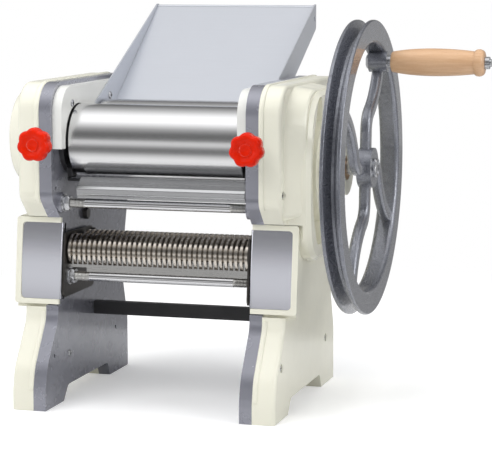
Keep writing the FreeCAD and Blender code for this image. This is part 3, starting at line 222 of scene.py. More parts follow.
def metal(name, colour, roughness, stretch, depth, stain=0.25, dark=0.75, edge=2.0, recess_shade=1.2):
    """Bare metal with drawn-out tool marks, a little uneven in gloss and tone, edges lightened for wear and
    as a painted highlight, recesses darkened as painted shade.
    """
    material, tree, shader = new_material(name)
    shader["Metallic"].default_value = 1.0
    streaks = use_group(tree, GRAIN, Stretch=stretch, Detail=4.0)
    cloud = use_group(tree, CLOUDS, Scale=35.0, Contrast=2.4)
    shade = mix_colours(tree, spread(tree, cloud, 0.0, stain), colour, toned(colour, dark))
    streaked = mix_colours(tree, spread(tree, streaks, 0.0, stain), shade, toned(colour, 0.7))
    # Lighter edges: wear and painted highlight.
    edges = use_group(tree, EDGE_WEAR_AND_HIGHLIGHT, Radius=0.0006, Amount=edge)
    worn_and_highlit = mix_colours(tree, edges, streaked, toned(colour, 1.25))
    # Painted shade: recesses are darkened towards near-black.
    recesses = use_group(tree, PAINTED_RECESS_SHADE, Reach=RECESS_REACH, Amount=recess_shade)
    tree.links.new(mix_colours(tree, recesses, worn_and_highlit, RECESS_SHADE_COLOUR), shader["Base Color"])
    tree.links.new(spread(tree, streaks, roughness * 0.7, roughness * 1.4), shader["Roughness"])
    tree.links.new(bump(tree, streaks, depth), shader["Normal"])
    return material


def finish_mesh(name, mesh, material, body, replaced=(), angle=35):
    """Object from a bmesh: smooth but for its real edges, riding on a body, with its finish."""
    bmesh.ops.recalc_face_normals(mesh, faces=mesh.faces)
    data = bpy.data.meshes.new(name)
    mesh.to_mesh(data)
    mesh.free()
    data.shade_smooth()
    data.set_sharp_from_angle(angle=math.radians(angle))
    data.materials.append(material)
    piece = bpy.data.objects.new(name, data)
    bpy.context.scene.collection.objects.link(piece)
    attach(piece, body)
    if replaced:
        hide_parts(*replaced)
    return piece


def skin(mesh, rings, closed=False, capped=True):
    """Quads between rings of points; closed joins the last ring to the first, capped fills both ends."""
    rows = [[mesh.verts.new(point) for point in ring] for ring in rings]
    count = len(rows[0])
    pairs = list(zip(rows, rows[1:]))
    if closed:
        pairs.append((rows[-1], rows[0]))
    for lower, upper in pairs:
        for i in range(count):
            j = (i + 1) % count
            mesh.faces.new((lower[i], lower[j], upper[j], upper[i]))
    if capped and not closed:
        mesh.faces.new(list(reversed(rows[0])))
        mesh.faces.new(rows[-1])


ACROSS = {"X": (Vector((0, 1, 0)), Vector((0, 0, 1))), "Y": (Vector((0, 0, 1)), Vector((1, 0, 0)))}
ALONG = {"X": Vector((1, 0, 0)), "Y": Vector((0, 1, 0))}


def ring(centre, axis, along, radius, count):
    """Ring of points about an axis; radius is a number or a function of the angle."""
    first, second = ACROSS[axis]
    middle = Vector(centre) + ALONG[axis] * along
    points = []
    for i in range(count):
        angle = 2 * math.pi * i / count
        reach = radius(angle) if callable(radius) else radius
        points.append(middle + first * (reach * math.cos(angle)) + second * (reach * math.sin(angle)))
    return points


def solids(name):
    """Boxes (lowest, highest corner) of the separate solids in one CAD part."""
    mesh = bmesh.new()
    mesh.from_mesh(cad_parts[name].data)
    bmesh.ops.remove_doubles(mesh, verts=mesh.verts, dist=1e-6)
    seen, boxes = set(), []
    for seed in mesh.verts:
        if seed in seen:
            continue
        seen.add(seed)
        island, open_ends = [seed], [seed]
        while open_ends:
            for edge in open_ends.pop().link_edges:
                for vertex in edge.verts:
                    if vertex not in seen:
                        seen.add(vertex)
                        island.append(vertex)
                        open_ends.append(vertex)
        corners = [[vertex.co[k] for vertex in island] for k in range(3)]
        boxes.append((Vector([min(c) for c in corners]), Vector([max(c) for c in corners])))
    mesh.free()
    return boxes


rod_steel = metal("bright_drawn_steel", chip(228, 228, 230), 0.11, (2600, 40, 40), 0.0000012, stain=0.12)
zinc_steel = metal("bright_zinc_steel", chip(202, 203, 206), 0.25, (2600, 40, 40), 0.000002, stain=0.25)
thread_steel = metal("rolled_thread_steel", chip(222, 221, 218), 0.28, (900, 200, 200), 0.000003,
                     stain=0.35, dark=0.7, recess_shade=0.45)
THREAD_PITCH, THREAD_DEPTH, THREAD_SIDES, RINGS_PER_PITCH = 0.0015, 0.00062, 28, 6
LEFT_THREAD, RIGHT_THREAD = 0.0486, 0.043
TIP_START, TIP_CHAMFER, RUN_OUT = 0.0008, 0.0011, 0.002


def thread_radius(outer, along, strength):
    """Radius of a rolled thread at a place along the rod, as a function of the angle."""
    def at(angle):
        turn = (along / THREAD_PITCH - angle / (2 * math.pi)) % 1
        ridge = abs(2 * turn - 1)
        return outer - strength * THREAD_DEPTH * min(1, max(0, 1.35 * ridge - 0.15))
    return at


def tie_rod(name):
    """Rod with a rolled thread at each end, longer on the left, and chamfered tips."""
    low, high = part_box(name)
    centre = ((low.x + high.x) / 2, (low.y + high.y) / 2, (low.z + high.z) / 2)
    outer, half = (high.z - low.z) / 2, (high.x - low.x) / 2
    step = THREAD_PITCH / RINGS_PER_PITCH

    def threaded(side, length):
        """Rings from the tip of one end to the thread's run-out."""
        rings = [ring(centre, "X", side * half, outer - TIP_CHAMFER, THREAD_SIDES)]
        for i in range(int(length / step) + 1):
            inward = TIP_START + i * step
            fading = min(1.0, max(0.0, (length - inward) / RUN_OUT))
            along = side * (half - inward)
            rings.append(ring(centre, "X", along, thread_radius(outer, along, fading), THREAD_SIDES))
        return rings

    mesh = bmesh.new()
    skin(mesh, threaded(1, RIGHT_THREAD) + list(reversed(threaded(-1, LEFT_THREAD))))
    rod = finish_mesh(name + "_threaded", mesh, rod_steel, "machine", [name], angle=50)
    rod.data.materials.append(thread_steel)
    for face in rod.data.polygons:
        x = face.center.x - centre[0]
        face.material_index = int(x > half - RIGHT_THREAD or x < LEFT_THREAD - half)


for rod in ("upper_tie_rod", "lower_tie_rod", "rear_tie_rod"):
    tie_rod(rod)


NUT_SIDES, TIE_ROD_NUT_BORE = 48, 0.0043
# Depth in from each face of a nut, and share of the full corner radius there.
NUT_CHAMFER = [(0, 0.87), (0.0002, 0.895), (0.001, 1.0)]


def hexagon_radius(corner, limit):
    """Outline of a hexagon whose corners are turned down to a limit."""
    def at(angle):
        within = (angle + math.pi / 6) % (math.pi / 3) - math.pi / 6
        flat = corner * math.cos(math.pi / 6)
        return min(flat / math.cos(math.pi / 6 - abs(within)), limit)
    return at


def hexagon_nut(mesh, low, high, bore):
    """Nut along X with both faces turned, so that its corners are chamfered."""
    centre = (low + high) / 2
    half = (high.x - low.x) / 2
    corner = max(high.y - low.y, high.z - low.z) / 2
    middle = (low.x + high.x) / 2
    centre.x = 0
    profile = [(-half + inset, share) for inset, share in NUT_CHAMFER]
    profile += [(half - inset, share) for inset, share in reversed(NUT_CHAMFER)]
    rings = [ring(centre, "X", middle - half, bore, NUT_SIDES)]
    for along, share in profile:
        rings.append(ring(centre, "X", middle + along, hexagon_radius(corner, corner * share), NUT_SIDES))
    rings.append(ring(centre, "X", middle + half, bore, NUT_SIDES))
    skin(mesh, rings, closed=True)


nuts = bmesh.new()
for low, high in solids("tie_rod_nuts"):
    hexagon_nut(nuts, low, high, TIE_ROD_NUT_BORE)
finish_mesh("tie_rod_hexagon_nuts", nuts, zinc_steel, "machine", ["tie_rod_nuts"])
dress(zinc_steel, "tie_rod_washers")

# ---------------------------------------------------------------- rear cross bar
# A flat black bar screwed between the frames low at the back, painted like stove iron. Its screws are zinc
# plated, with the heads on the outer faces of the frames.

black_iron = paint("black_satin_enamel", chip(38, 38, 41), chip(96, 96, 99), 0.42, ripple=0.00004)
dress(black_iron, "rear_cross_bar")
dress(zinc_steel, "cross_bar_screws")

# ---------------------------------------------------------------- cutter cassette
# The pair of slitting rollers runs in bronze bushes in the frames, between two dark rolled steel plates.
# Pressed combs reach into every groove to strip the noodles. Dark bolts hold the cassette to the frames.

dark_steel = metal("dark_rolled_steel", chip(96, 93, 91), 0.38, (90, 900, 60), 0.000012, stain=0.6, dark=0.55)
# The cutter's grooves get the strongest painted shade of all the metals.
cutter_steel = metal("milled_steel", chip(232, 224, 214), 0.2, (60, 700, 700), 0.000003,
                     stain=0.35, dark=0.6, recess_shade=1.5)
comb_steel = metal("pressed_bright_steel", chip(224, 223, 221), 0.27, (20, 800, 800), 0.000004, stain=0.25)
bronze = metal("turned_bronze", chip(186, 142, 84), 0.3, (2200, 60, 60), 0.000003, stain=0.4)
dress(dark_steel, "left_cutter_end_plate", "right_cutter_end_plate", "cassette_bolts")
dress(cutter_steel, "front_cutter", "rear_cutter")
dress(comb_steel, "front_comb", "rear_comb")
dress(bronze, "cutter_bushes", "drive_shaft_bushes")

# ---------------------------------------------------------------- sheeting rollers
# Two steel rollers, ground round their axis and hard chromed, turn against each other. Black iron blocks and
# bushes hold their ends, and an extruded alloy scraper lies along the underside of each.

roller_chrome = metal("ground_chrome", chip(232, 232, 233), 0.19, (5200, 25, 25), 0.0000006,
                      stain=0.06, edge=1.0)
scraper_alloy = metal("extruded_alloy", chip(206, 207, 209), 0.24, (12, 1500, 1500), 0.000002, stain=0.2)
dress(roller_chrome, "front_roller", "rear_roller")
dress(black_iron, "left_bearing_block", "right_bearing_block", "rear_roller_bushes", "front_scraper_brackets")
dress(scraper_alloy, "front_scraper", "rear_scraper")

# ---------------------------------------------------------------- gear train
# Hobbed steel gears under the covers, dark with grease: one train from the wheel's shaft to the rollers on
# the crank side, and a pair of meshing gears for each pair of rollers on the other side.

gear_steel = metal("greased_gear_steel", chip(150, 149, 146), 0.3, (1500, 50, 50), 0.000005,
                   stain=0.7, dark=0.4)
dress(gear_steel, "front_mesh_gear", "rear_mesh_gear", "drive_pinion", "rear_roller_gear", "idler_gear",
      "cutter_drive_gear", "front_cutter_gear", "rear_cutter_gear")
dress(zinc_steel, "idler_axle", "drive_shaft")

# ---------------------------------------------------------------- dough guides
# White moulded cheeks fill the space over the roller ends. They are glossy, with a soft sink mark here and
# there. A pan-head screw holds each to its frame, and another sits in each frame's leg.


def moulded(name, colour, shade, roughness, ripple=0.00003, shine=0.5):
    """Gloss moulded plastic: slow ripple, slightly uneven tone and gloss, edges a little paler as a painted
    highlight.
    """
    material, tree, shader = new_material(name)
    tone = mix_colours(tree, use_group(tree, CLOUDS, Scale=9.0, Contrast=1.8), shade, colour)
    paler = [min(1.0, c * 1.06 + 0.01) for c in colour[:3]] + [1]
    # Paler edges: painted highlight.
    edges = use_group(tree, EDGE_WEAR_AND_HIGHLIGHT, Radius=0.001, Amount=1.6)
    tree.links.new(mix_colours(tree, edges, tone, paler), shader["Base Color"])
    tree.links.new(spread(tree, use_group(tree, CLOUDS, Scale=45.0, Contrast=2.0),
                          roughness * 0.8, roughness * 1.3), shader["Roughness"])
    sink = bump(tree, use_group(tree, CLOUDS, Scale=22.0, Contrast=1.0), ripple * 4)
    peel = bump(tree, use_group(tree, CLOUDS, Scale=700.0, Contrast=1.0), ripple * 0.2, sink)
    tree.links.new(peel, shader["Normal"])
    shader["IOR"].default_value = 1.5
    shader["Specular IOR Level"].default_value = shine
    return material


# Height of a screw's head and radius of its shank.
SCREW_HEAD, SCREW_SHANK = 0.0021, 0.0019


def screw_head(mesh, centre, outward, radius):
    """Domed head along X on a fine polar grid, with a cross pressed half its height into it."""
    count, rows = 48, 14
    arm_half, arm_reach = radius * 0.15, radius * 0.62

    def pressed(y, z):
        in_cross = min(abs(y), abs(z)) <= arm_half and max(abs(y), abs(z)) <= arm_reach
        return SCREW_HEAD * 0.5 if in_cross else 0

    rings = [ring(centre, "X", 0, radius, count)]
    for row in range(rows):
        share = 1 - row / rows
        dome = SCREW_HEAD * (0.45 + 0.55 * math.sqrt(max(0, 1 - share ** 4)))
        points = []
        for i in range(count):
            angle = 2 * math.pi * i / count
            y, z = radius * share * math.cos(angle), radius * share * math.sin(angle)
            points.append(centre + Vector((outward * (dome - pressed(y, z)), y, z)))
        rings.append(points)
    skin(mesh, rings)


def head_side(name, low, high):
    """Which way a screw's head faces along X: the end where its mesh is widest."""
    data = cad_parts[name].data
    near_low, near_high = 0.0, 0.0
    middle = Vector((0, (low.y + high.y) / 2, (low.z + high.z) / 2))
    for vertex in data.vertices:
        spot = vertex.co
        if not all(low[k] - 1e-6 <= spot[k] <= high[k] + 1e-6 for k in range(3)):
            continue
        reach = math.hypot(spot.y - middle.y, spot.z - middle.z)
        if spot.x < low.x + 1e-5:
            near_low = max(near_low, reach)
        if spot.x > high.x - 1e-5:
            near_high = max(near_high, reach)
    return 1 if near_high > near_low else -1


def pan_screws(name, replaced):
    """Screws for every solid of a CAD part: the shank in its hole and a pressed head outside."""
    mesh = bmesh.new()
    for low, high in solids(replaced):
        centre = Vector((0, (low.y + high.y) / 2, (low.z + high.z) / 2))
        outward = head_side(replaced, low, high)
        seat = high.x - SCREW_HEAD if outward > 0 else low.x + SCREW_HEAD
        screw_head(mesh, centre + Vector((seat, 0, 0)), outward, (high.z - low.z) / 2)
        shank = [low.x, seat] if outward > 0 else [seat, high.x]
        skin(mesh, [ring(centre, "X", x, SCREW_SHANK, 16) for x in shank])
    finish_mesh(name, mesh, zinc_steel, "machine", [replaced], angle=40)


white_plastic = moulded("white_gloss_plastic", chip(234, 234, 230), chip(226, 226, 221), 0.22)
dress(white_plastic, "left_dough_guide", "right_dough_guide")
pan_screws("frame_cross_screws", "frame_screws")

# ---------------------------------------------------------------- covers
# Thin moulded shells close both sides, ivory and glossy, hollow inside and open to the frame. A rounded lip
# runs along the edge that meets the frame. Cross-head screws sit in counterbores in the outer face.

cream_plastic = moulded("ivory_gloss_plastic", chip(239, 237, 221), chip(233, 231, 214), 0.2)
dress(cream_plastic, "left_cover", "right_cover")
LIP_WIDTH, LIP_PROUD, LIP_SUNK, LIP_GAP, LIP_STEPS = 0.0052, 0.0013, 0.0006, 0.0002, 8
# Where there is no lip: on a sole; low down, from a reach before the cross bar to mid arch; around the box.
SOLE_TOP, LOW_DOWN, BAR_REACH, MID_ARCH = 0.0025, 0.02, 0.16, 0.04
BOX_BEHIND, BOX_MARGIN = 0.012, 0.001


def outline_of(name, x):
    """Longest closed loop of a CAD part's edges in the plane at one X, in order."""
    mesh = bmesh.new()
    mesh.from_mesh(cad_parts[name].data)
    bmesh.ops.remove_doubles(mesh, verts=mesh.verts, dist=1e-6)

    def flat(item):
        return all(abs(vertex.co.x - x) < 2e-5 for vertex in item.verts)

    around = [edge for edge in mesh.edges if flat(edge) and sum(flat(face) for face in edge.link_faces) == 1]
    rim, best = set(around), []
    for first in around:
        if first not in rim:
            continue
        rim.discard(first)
        loop = [first.verts[0], first.verts[1]]
        while loop[-1] is not loop[0]:
            ahead = [edge for edge in loop[-1].link_edges if edge in rim]
            if not ahead:
                break
            rim.discard(ahead[0])
            loop.append(ahead[0].other_vert(loop[-1]))
        length = sum((a.co - b.co).length for a, b in zip(loop, loop[1:]))
        if not best or length > best[0]:
            best = (length, [vertex.co.copy() for vertex in loop[:-1]])
    mesh.free()
    return best[1]


def lip_stretches(points):
    """Parts of the outline that carry a lip: not the soles, the front half of the arch or the cutter box."""
    box_low, box_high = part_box("left_cap_rim")
    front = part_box("rear_cross_bar")[0].y - BAR_REACH

    def plain(point):
        under = point.z < SOLE_TOP or (point.z < LOW_DOWN and front < point.y < MID_ARCH)
        level = box_low.z - BOX_MARGIN < point.z < box_high.z + BOX_MARGIN
        return under or (level and point.y < box_high.y + BOX_BEHIND)

    start = next(i for i, point in enumerate(points) if plain(point))
    stretches, current = [], []
    for point in points[start:] + points[:start]:
        if plain(point):
            if len(current) > 1:
                stretches.append(current)
            current = []
        else:
            current.append(point)
    if len(current) > 1:
        stretches.append(current)
    return stretches


def lip(side, name):
    """Rounded bead swept along the outline, set a little into the cover."""
    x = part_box(name + "_side_frame")[1].x if side > 0 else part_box(name + "_side_frame")[0].x
    outline = outline_of(name + "_side_frame", x)
    turn = sum(a.y * b.z - b.y * a.z for a, b in zip(outline, outline[1:] + outline[:1]))
    sense = 1 if turn > 0 else -1
    mesh = bmesh.new()
    for stretch in lip_stretches(outline):
        rings = []
        for i, point in enumerate(stretch):
            back = stretch[max(0, i - 1)]
            ahead = stretch[min(len(stretch) - 1, i + 1)]
            along = (ahead - back).normalized()
            outward = Vector((0, along.z, -along.y)) * sense
            section = []
            for k in range(LIP_STEPS + 1):
                angle = math.pi * k / LIP_STEPS
                across = (1 - math.cos(angle)) / 2 * LIP_WIDTH
                proud = LIP_PROUD * math.sin(angle) ** 0.7 if 0 < k < LIP_STEPS else -LIP_SUNK
                section.append(point + Vector((side * (LIP_GAP + across), 0, 0)) + outward * proud)
            rings.append(section)
        skin(mesh, rings)
    finish_mesh(name + "_cover_lip", mesh, cream_plastic, "machine", angle=60)


for side, name in ((-1, "left"), (1, "right")):
    lip(side, name)
    pan_screws(name + "_cover_cross_screws", name + "_cover_screws")

# ---------------------------------------------------------------- caps of the cutter box
# Each side's box is closed in front by an ivory rim with a grey plate in it, brushed along its length under
# clear lacquer. Both lean back at the top.


def lacquered(name, colour, dark):
    """Brushed metallic paint under a clear coat."""
    material, tree, shader = new_material(name)
    streaks = use_group(tree, GRAIN, Stretch=(24, 300, 1900), Detail=3.0)
    tree.links.new(mix_colours(tree, streaks, dark, colour), shader["Base Color"])
    tree.links.new(spread(tree, streaks, 0.13, 0.2), shader["Roughness"])
    tree.links.new(bump(tree, streaks, 0.0000006), shader["Normal"])
    shader["Metallic"].default_value = 0.92
    shader["Coat Weight"].default_value = 0.5
    shader["Coat Roughness"].default_value = 0.1
    return material


cap_lacquer = lacquered("brushed_grey_lacquer", chip(226, 227, 235), chip(214, 215, 224))
dress(cream_plastic, "left_cap_rim", "right_cap_rim")
LEAN = math.radians(6.54)
PLATE_PROUD, PLATE_THICK, CROWN = 0.0023, 0.0012, 0.0013
BEND, FLANGE_END, CORNER = 0.003, 0.005, 0.0039
BOX_ABOVE_RIM, INNER_OVERHANG, ROUND_STEPS, FACE_STEPS = 0.0006, 0.0019, 6, 12


def cap_plate(side, name):
    """Bent sheet: a slightly crowned face that leans with the box and turns back at its inner edge."""
    rim_low, rim_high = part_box(name + "_cap_rim")
    low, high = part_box(name + "_cap_plate")
    top = Vector((0, rim_high.y, rim_high.z + BOX_ABOVE_RIM))
    down = Vector((0, -math.sin(LEAN), -math.cos(LEAN)))
    back = Vector((0, math.cos(LEAN), -math.sin(LEAN)))
    near_x, far_x = (low.x, high.x) if side > 0 else (high.x, low.x)
    near_x -= side * INNER_OVERHANG
    height = (high.z - low.z) / math.cos(LEAN)
    start = (top.z - high.z) / math.cos(LEAN)
    width = abs(far_x - near_x)
    quarter = [math.pi / 2 * i / ROUND_STEPS for i in range(ROUND_STEPS + 1)]
    section = [(0, -FLANGE_END)]
    section += [(BEND * (1 - math.sin(a)), PLATE_PROUD - BEND * (1 - math.cos(a))) for a in quarter[::-1]]
    section += [(width - CORNER * (1 - math.sin(a)), PLATE_PROUD) for a in quarter]
    rows = []
    for across, proud in section:
        past = max(0.0, across - (width - CORNER))
        cut = CORNER - math.sqrt(max(0.0, CORNER ** 2 - past ** 2))
        row = []
        for k in range(FACE_STEPS + 1):
            drop = cut + (height - 2 * cut) * k / FACE_STEPS
            crown = CROWN * (1 - (2 * drop / height - 1) ** 2)
            place = Vector((near_x + side * across, 0, 0)) + top + down * (start + drop)
            row.append(place - back * (proud + crown))
        rows.append(row)
    mesh = bmesh.new()
    vertices = [[mesh.verts.new(point) for point in row] for row in rows]
    behind = [[mesh.verts.new(point + back * PLATE_THICK) for point in row] for row in rows]
    last, end = len(rows) - 1, len(rows[0]) - 1
    for i in range(last):
        for j in range(end):
            mesh.faces.new((vertices[i][j], vertices[i + 1][j], vertices[i + 1][j + 1], vertices[i][j + 1]))
            mesh.faces.new((behind[i][j], behind[i][j + 1], behind[i + 1][j + 1], behind[i + 1][j]))
        for j in (0, end):
            mesh.faces.new((vertices[i][j], vertices[i + 1][j], behind[i + 1][j], behind[i][j]))
    for i in (0, last):
        for j in range(end):
            mesh.faces.new((vertices[i][j], vertices[i][j + 1], behind[i][j + 1], behind[i][j]))
    finish_mesh(name + "_cap_bent_plate", mesh, cap_lacquer, "machine",
                [name + "_cap_plate"], angle=30)


for side, name in ((-1, "left"), (1, "right")):
    cap_plate(side, name)

# ---------------------------------------------------------------- feed tray
# A folded tray of thin bright sheet that leans back over the rear roller, with a rolled bead at its top edge.
# A screw through each wall pins it to the dough guides.

tray_steel = metal("brushed_sheet_steel", chip(208, 211, 218), 0.34, (14, 900, 900), 0.000004,
                   stain=0.12, dark=0.88, recess_shade=0.3)
tray_steel.node_tree.nodes["Principled BSDF"].inputs["Metallic"].default_value = 0.65
dress(tray_steel, "feed_tray")
pan_screws("tray_cross_screws", "tray_screws")

# ---------------------------------------------------------------- knobs and adjusting screws
# Orange-red moulded knobs with seven broad lobes turn the screws that move the front roller's blocks. The
# face is dished, with a ring in the dish. They throw no red light or reflection on the parts beside them.

red_plastic = moulded("orange_red_plastic", chip(230, 38, 0), chip(208, 24, 0), 0.2,
                      ripple=0.00008, shine=0.16)
LOBES, LOBE_ROOM, KNOB_SIDES = 7, 0.0002, 84
NECK_RADIUS, NECK_START, NECK_CHAMFER = 0.0083, 0.0188, 0.0006
# Depth behind the front, share of the full radius and depth of the valleys, from the middle of the face out.
KNOB_PROFILE = [(0.0026, 0.02, 0), (0.0024, 0.16, 0), (0.0013, 0.27, 0), (0.0013, 0.32, 0), (0.0029, 0.38, 0),
                (0.0028, 0.44, 0.02), (0.0008, 0.60, 0.07), (0.0, 0.74, 0.10), (0.0004, 0.85, 0.115),
                (0.0015, 0.93, 0.125), (0.0034, 0.98, 0.13), (0.0058, 1.0, 0.13), (0.0125, 0.99, 0.13),
                (0.0152, 0.95, 0.12), (0.0167, 0.86, 0.10), (0.0172, 0.62, 0.03), (0.0178, 0.5, 0)]


def knob(name):
    """Lobed knob with a round neck at the back."""
    low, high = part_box(name)
    centre = Vector(((low.x + high.x) / 2, 0, (low.z + high.z) / 2))
    radius = (high.z - low.z) / 2 - LOBE_ROOM

    def lobed(share, depth):
        """Broad lobes with narrow valleys between them."""
        def at(angle):
            wave = math.sqrt(math.cos(LOBES * angle / 2) ** 2 + 0.02)
            return radius * share * (1 - depth * (1.01 - wave))
        return at

    rings = []
    for behind, share, depth in KNOB_PROFILE:
        rings.append(ring(centre, "Y", low.y + behind, lobed(share, depth), KNOB_SIDES))
    rings.append(ring(centre, "Y", low.y + NECK_START, NECK_RADIUS, KNOB_SIDES))
    rings.append(ring(centre, "Y", high.y - NECK_CHAMFER, NECK_RADIUS, KNOB_SIDES))
    rings.append(ring(centre, "Y", high.y, NECK_RADIUS - NECK_CHAMFER, KNOB_SIDES))
    mesh = bmesh.new()
    skin(mesh, rings)
    piece = finish_mesh(name + "_lobed", mesh, red_plastic, name, [name], angle=50)
    piece.visible_diffuse = piece.visible_glossy = False


for name in ("left_knob", "right_knob"):
    knob(name)
dress(zinc_steel, "left_adjusting_screw", "right_adjusting_screw", "adjusting_screw_collars")

# ---------------------------------------------------------------- hand wheel
# An iron casting with a grooved rim, four S-shaped spokes and a boss for the crank. It has a hammered grey
# finish: the paint draws together into small shining cells over a darker ground.


def hammered(name, dark, light):
    """Paint drawn together into small warped cells, over the slow relief of a casting."""
    material, tree, shader = new_material(name)
    place = add_node(tree, "TexCoord").outputs["Object"]
    warp = add_node(tree, "TexNoise", {"Vector": place, "Scale": 800.0, "Detail": 2.0})
    shifted = add_node(tree, "VectorMath", {0: warp.outputs["Color"], 1: (0.0006, 0.0006, 0.0006), 2: place},
                       operation="MULTIPLY_ADD")
    cells = add_node(tree, "TexVoronoi", {"Vector": shifted.outputs[0], "Scale": 1000.0}, feature="SMOOTH_F1")
    mask = add_node(tree, "MapRange", {"Value": cells.outputs["Distance"], "From Min": 0.15, "From Max": 0.6})
    tree.links.new(mix_colours(tree, mask.outputs[0], light, dark), shader["Base Color"])
    tree.links.new(spread(tree, mask.outputs[0], 0.18, 0.34), shader["Roughness"])
    rough_casting = bump(tree, use_group(tree, CLOUDS, Scale=70.0, Contrast=1.2), 0.0002)
    tree.links.new(bump(tree, mask.outputs[0], -0.00009, rough_casting), shader["Normal"])
    shader["Metallic"].default_value = 0.65
    shader["Coat Weight"].default_value = 0.9
    shader["Coat Roughness"].default_value = 0.08
    return material


wheel_paint = hammered("hammered_grey_paint", chip(100, 102, 111), chip(158, 161, 170))
dress(wheel_paint, "hand_wheel")
WHEEL_NUT_BORE = 0.0079
wheel_nut = bmesh.new()
low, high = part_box("wheel_nut")
hexagon_nut(wheel_nut, low, high, WHEEL_NUT_BORE)
finish_mesh("wheel_hexagon_nut", wheel_nut, zinc_steel, "wheel", ["wheel_nut"])

# ---------------------------------------------------------------- crank grip
# A turned beech grip, lacquered, spins on a long bolt through the wheel. A bead marks its outer end, and a
# plain round nut keeps it on.


def beech(name):
    """Lacquered beech: long pale grain along the grip, with the short dark flecks of the wood."""
    material, tree, shader = new_material(name)
    long_grain = use_group(tree, GRAIN, Stretch=(22, 420, 420), Detail=5.0)
    bands = use_group(tree, GRAIN, Stretch=(5, 90, 90), Detail=2.0)
    tone = mix_colours(tree, bands, chip(212, 172, 132), chip(234, 200, 164))
    grained = mix_colours(tree, spread(tree, long_grain, -0.3, 1.1), chip(196, 152, 112), tone)
    place = add_node(tree, "TexCoord").outputs["Object"]
    stretched = add_node(tree, "VectorMath", {0: place, 1: (300, 1700, 1700)}, operation="MULTIPLY")
    flecks = add_node(tree, "TexVoronoi", {"Vector": stretched.outputs[0], "Scale": 1.0})
    fleck = add_node(tree, "MapRange", {"Value": flecks.outputs["Distance"], "From Min": 0.08,
                                        "From Max": 0.22, "To Min": 0.55, "To Max": 0.0}).outputs[0]
    tree.links.new(mix_colours(tree, fleck, grained, chip(164, 120, 84)), shader["Base Color"])
    tree.links.new(spread(tree, long_grain, 0.3, 0.45), shader["Roughness"])
    tree.links.new(bump(tree, long_grain, 0.00002), shader["Normal"])
    shader["Coat Weight"].default_value = 0.35
    shader["Coat Roughness"].default_value = 0.18
    return material


beech_wood = beech("lacquered_beech")
GRIP_SIDES, GRIP_BORE, MILLIMETRE = 72, 0.0041, 0.001
# Distance from the inner end and radius, in millimetres: the belly of the grip, then its bead.
GRIP_PROFILE = [(0, 9.4), (0.5, 10.1), (1.4, 10.6), (5, 11.2), (12, 12.2), (19, 12.95), (27, 13.5),
                (35, 13.85), (42, 13.98), (50, 13.9), (58, 13.65), (65, 13.3), (72, 12.8), (78, 12.25),
                (82, 11.85), (84, 11.6), (84.6, 11.7), (85.1, 12.3), (86, 13.0), (87.4, 13.5),
                (89.2, 13.7), (91, 13.5), (92.6, 12.9), (93.9, 12.0), (94.7, 10.9), (95, 9.8)]


def grip():
    """The grip turned to its profile, hollow for its bolt."""
    low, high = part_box("crank_grip")
    centre = Vector((low.x, (low.y + high.y) / 2, (low.z + high.z) / 2))
    rings = [ring(centre, "X", 0, GRIP_BORE, GRIP_SIDES)]
    for along, radius in GRIP_PROFILE:
        rings.append(ring(centre, "X", along * MILLIMETRE, radius * MILLIMETRE, GRIP_SIDES))
    rings.append(ring(centre, "X", GRIP_PROFILE[-1][0] * MILLIMETRE, GRIP_BORE, GRIP_SIDES))
    mesh = bmesh.new()
    skin(mesh, rings, closed=True)
    finish_mesh("turned_crank_grip", mesh, beech_wood, "crank_grip", ["crank_grip"])


grip()
dress(zinc_steel, "crank_bolt", "crank_collar", "crank_nut")

# ---------------------------------------------------------------- studio
# A pale floor under a white surround, one large soft lamp over the front, one overhead and one at each side.
# A tent of shaded cloth and two floor cloths are seen only in reflections.

FLOOR_RADIUS, FLOOR_DROP = 3.0, 0.0002
FADE_START, FADE_END = 0.405, 0.9
REFLECTOR_HALF = 4.0


def studio_floor():
    """Pale floor that keeps the shadow near the machine and fades to white away from it."""
    bpy.ops.mesh.primitive_circle_add(vertices=64, radius=FLOOR_RADIUS, fill_type="NGON")
    floor = bpy.context.object
    floor.name = "studio_floor"
    floor.location.z = -FLOOR_DROP
    material = bpy.data.materials.new("studio_floor")
    material.use_nodes = True
    tree = material.node_tree
    tree.nodes.clear()
    place = add_node(tree, "TexCoord").outputs["Object"]
    away = add_node(tree, "VectorMath", {0: place}, operation="LENGTH").outputs["Value"]
    fade = add_node(tree, "MapRange", {"Value": away, "From Min": FADE_START, "From Max": FADE_END,
                                       "To Min": 0.0, "To Max": 1.0},
                    interpolation_type="SMOOTHSTEP").outputs[0]
    pale = add_node(tree, "BsdfDiffuse", {"Color": (0.86, 0.86, 0.86, 1)}).outputs[0]
    lift = add_node(tree, "Emission", {"Color": (1, 1, 1, 1), "Strength": 0.3}).outputs[0]
    lifted = add_node(tree, "AddShader", {0: pale, 1: lift}).outputs[0]
    white = add_node(tree, "Emission", {"Color": (1, 1, 1, 1), "Strength": 1.0}).outputs[0]
    ray = add_node(tree, "LightPath").outputs["Is Camera Ray"]
    near_camera = add_node(tree, "MixShader", {0: fade, 1: lifted, 2: white}).outputs[0]
    surface = add_node(tree, "MixShader", {0: ray, 1: pale, 2: near_camera}).outputs[0]
    add_node(tree, "OutputMaterial", {"Surface": surface})
    floor.data.materials.append(material)


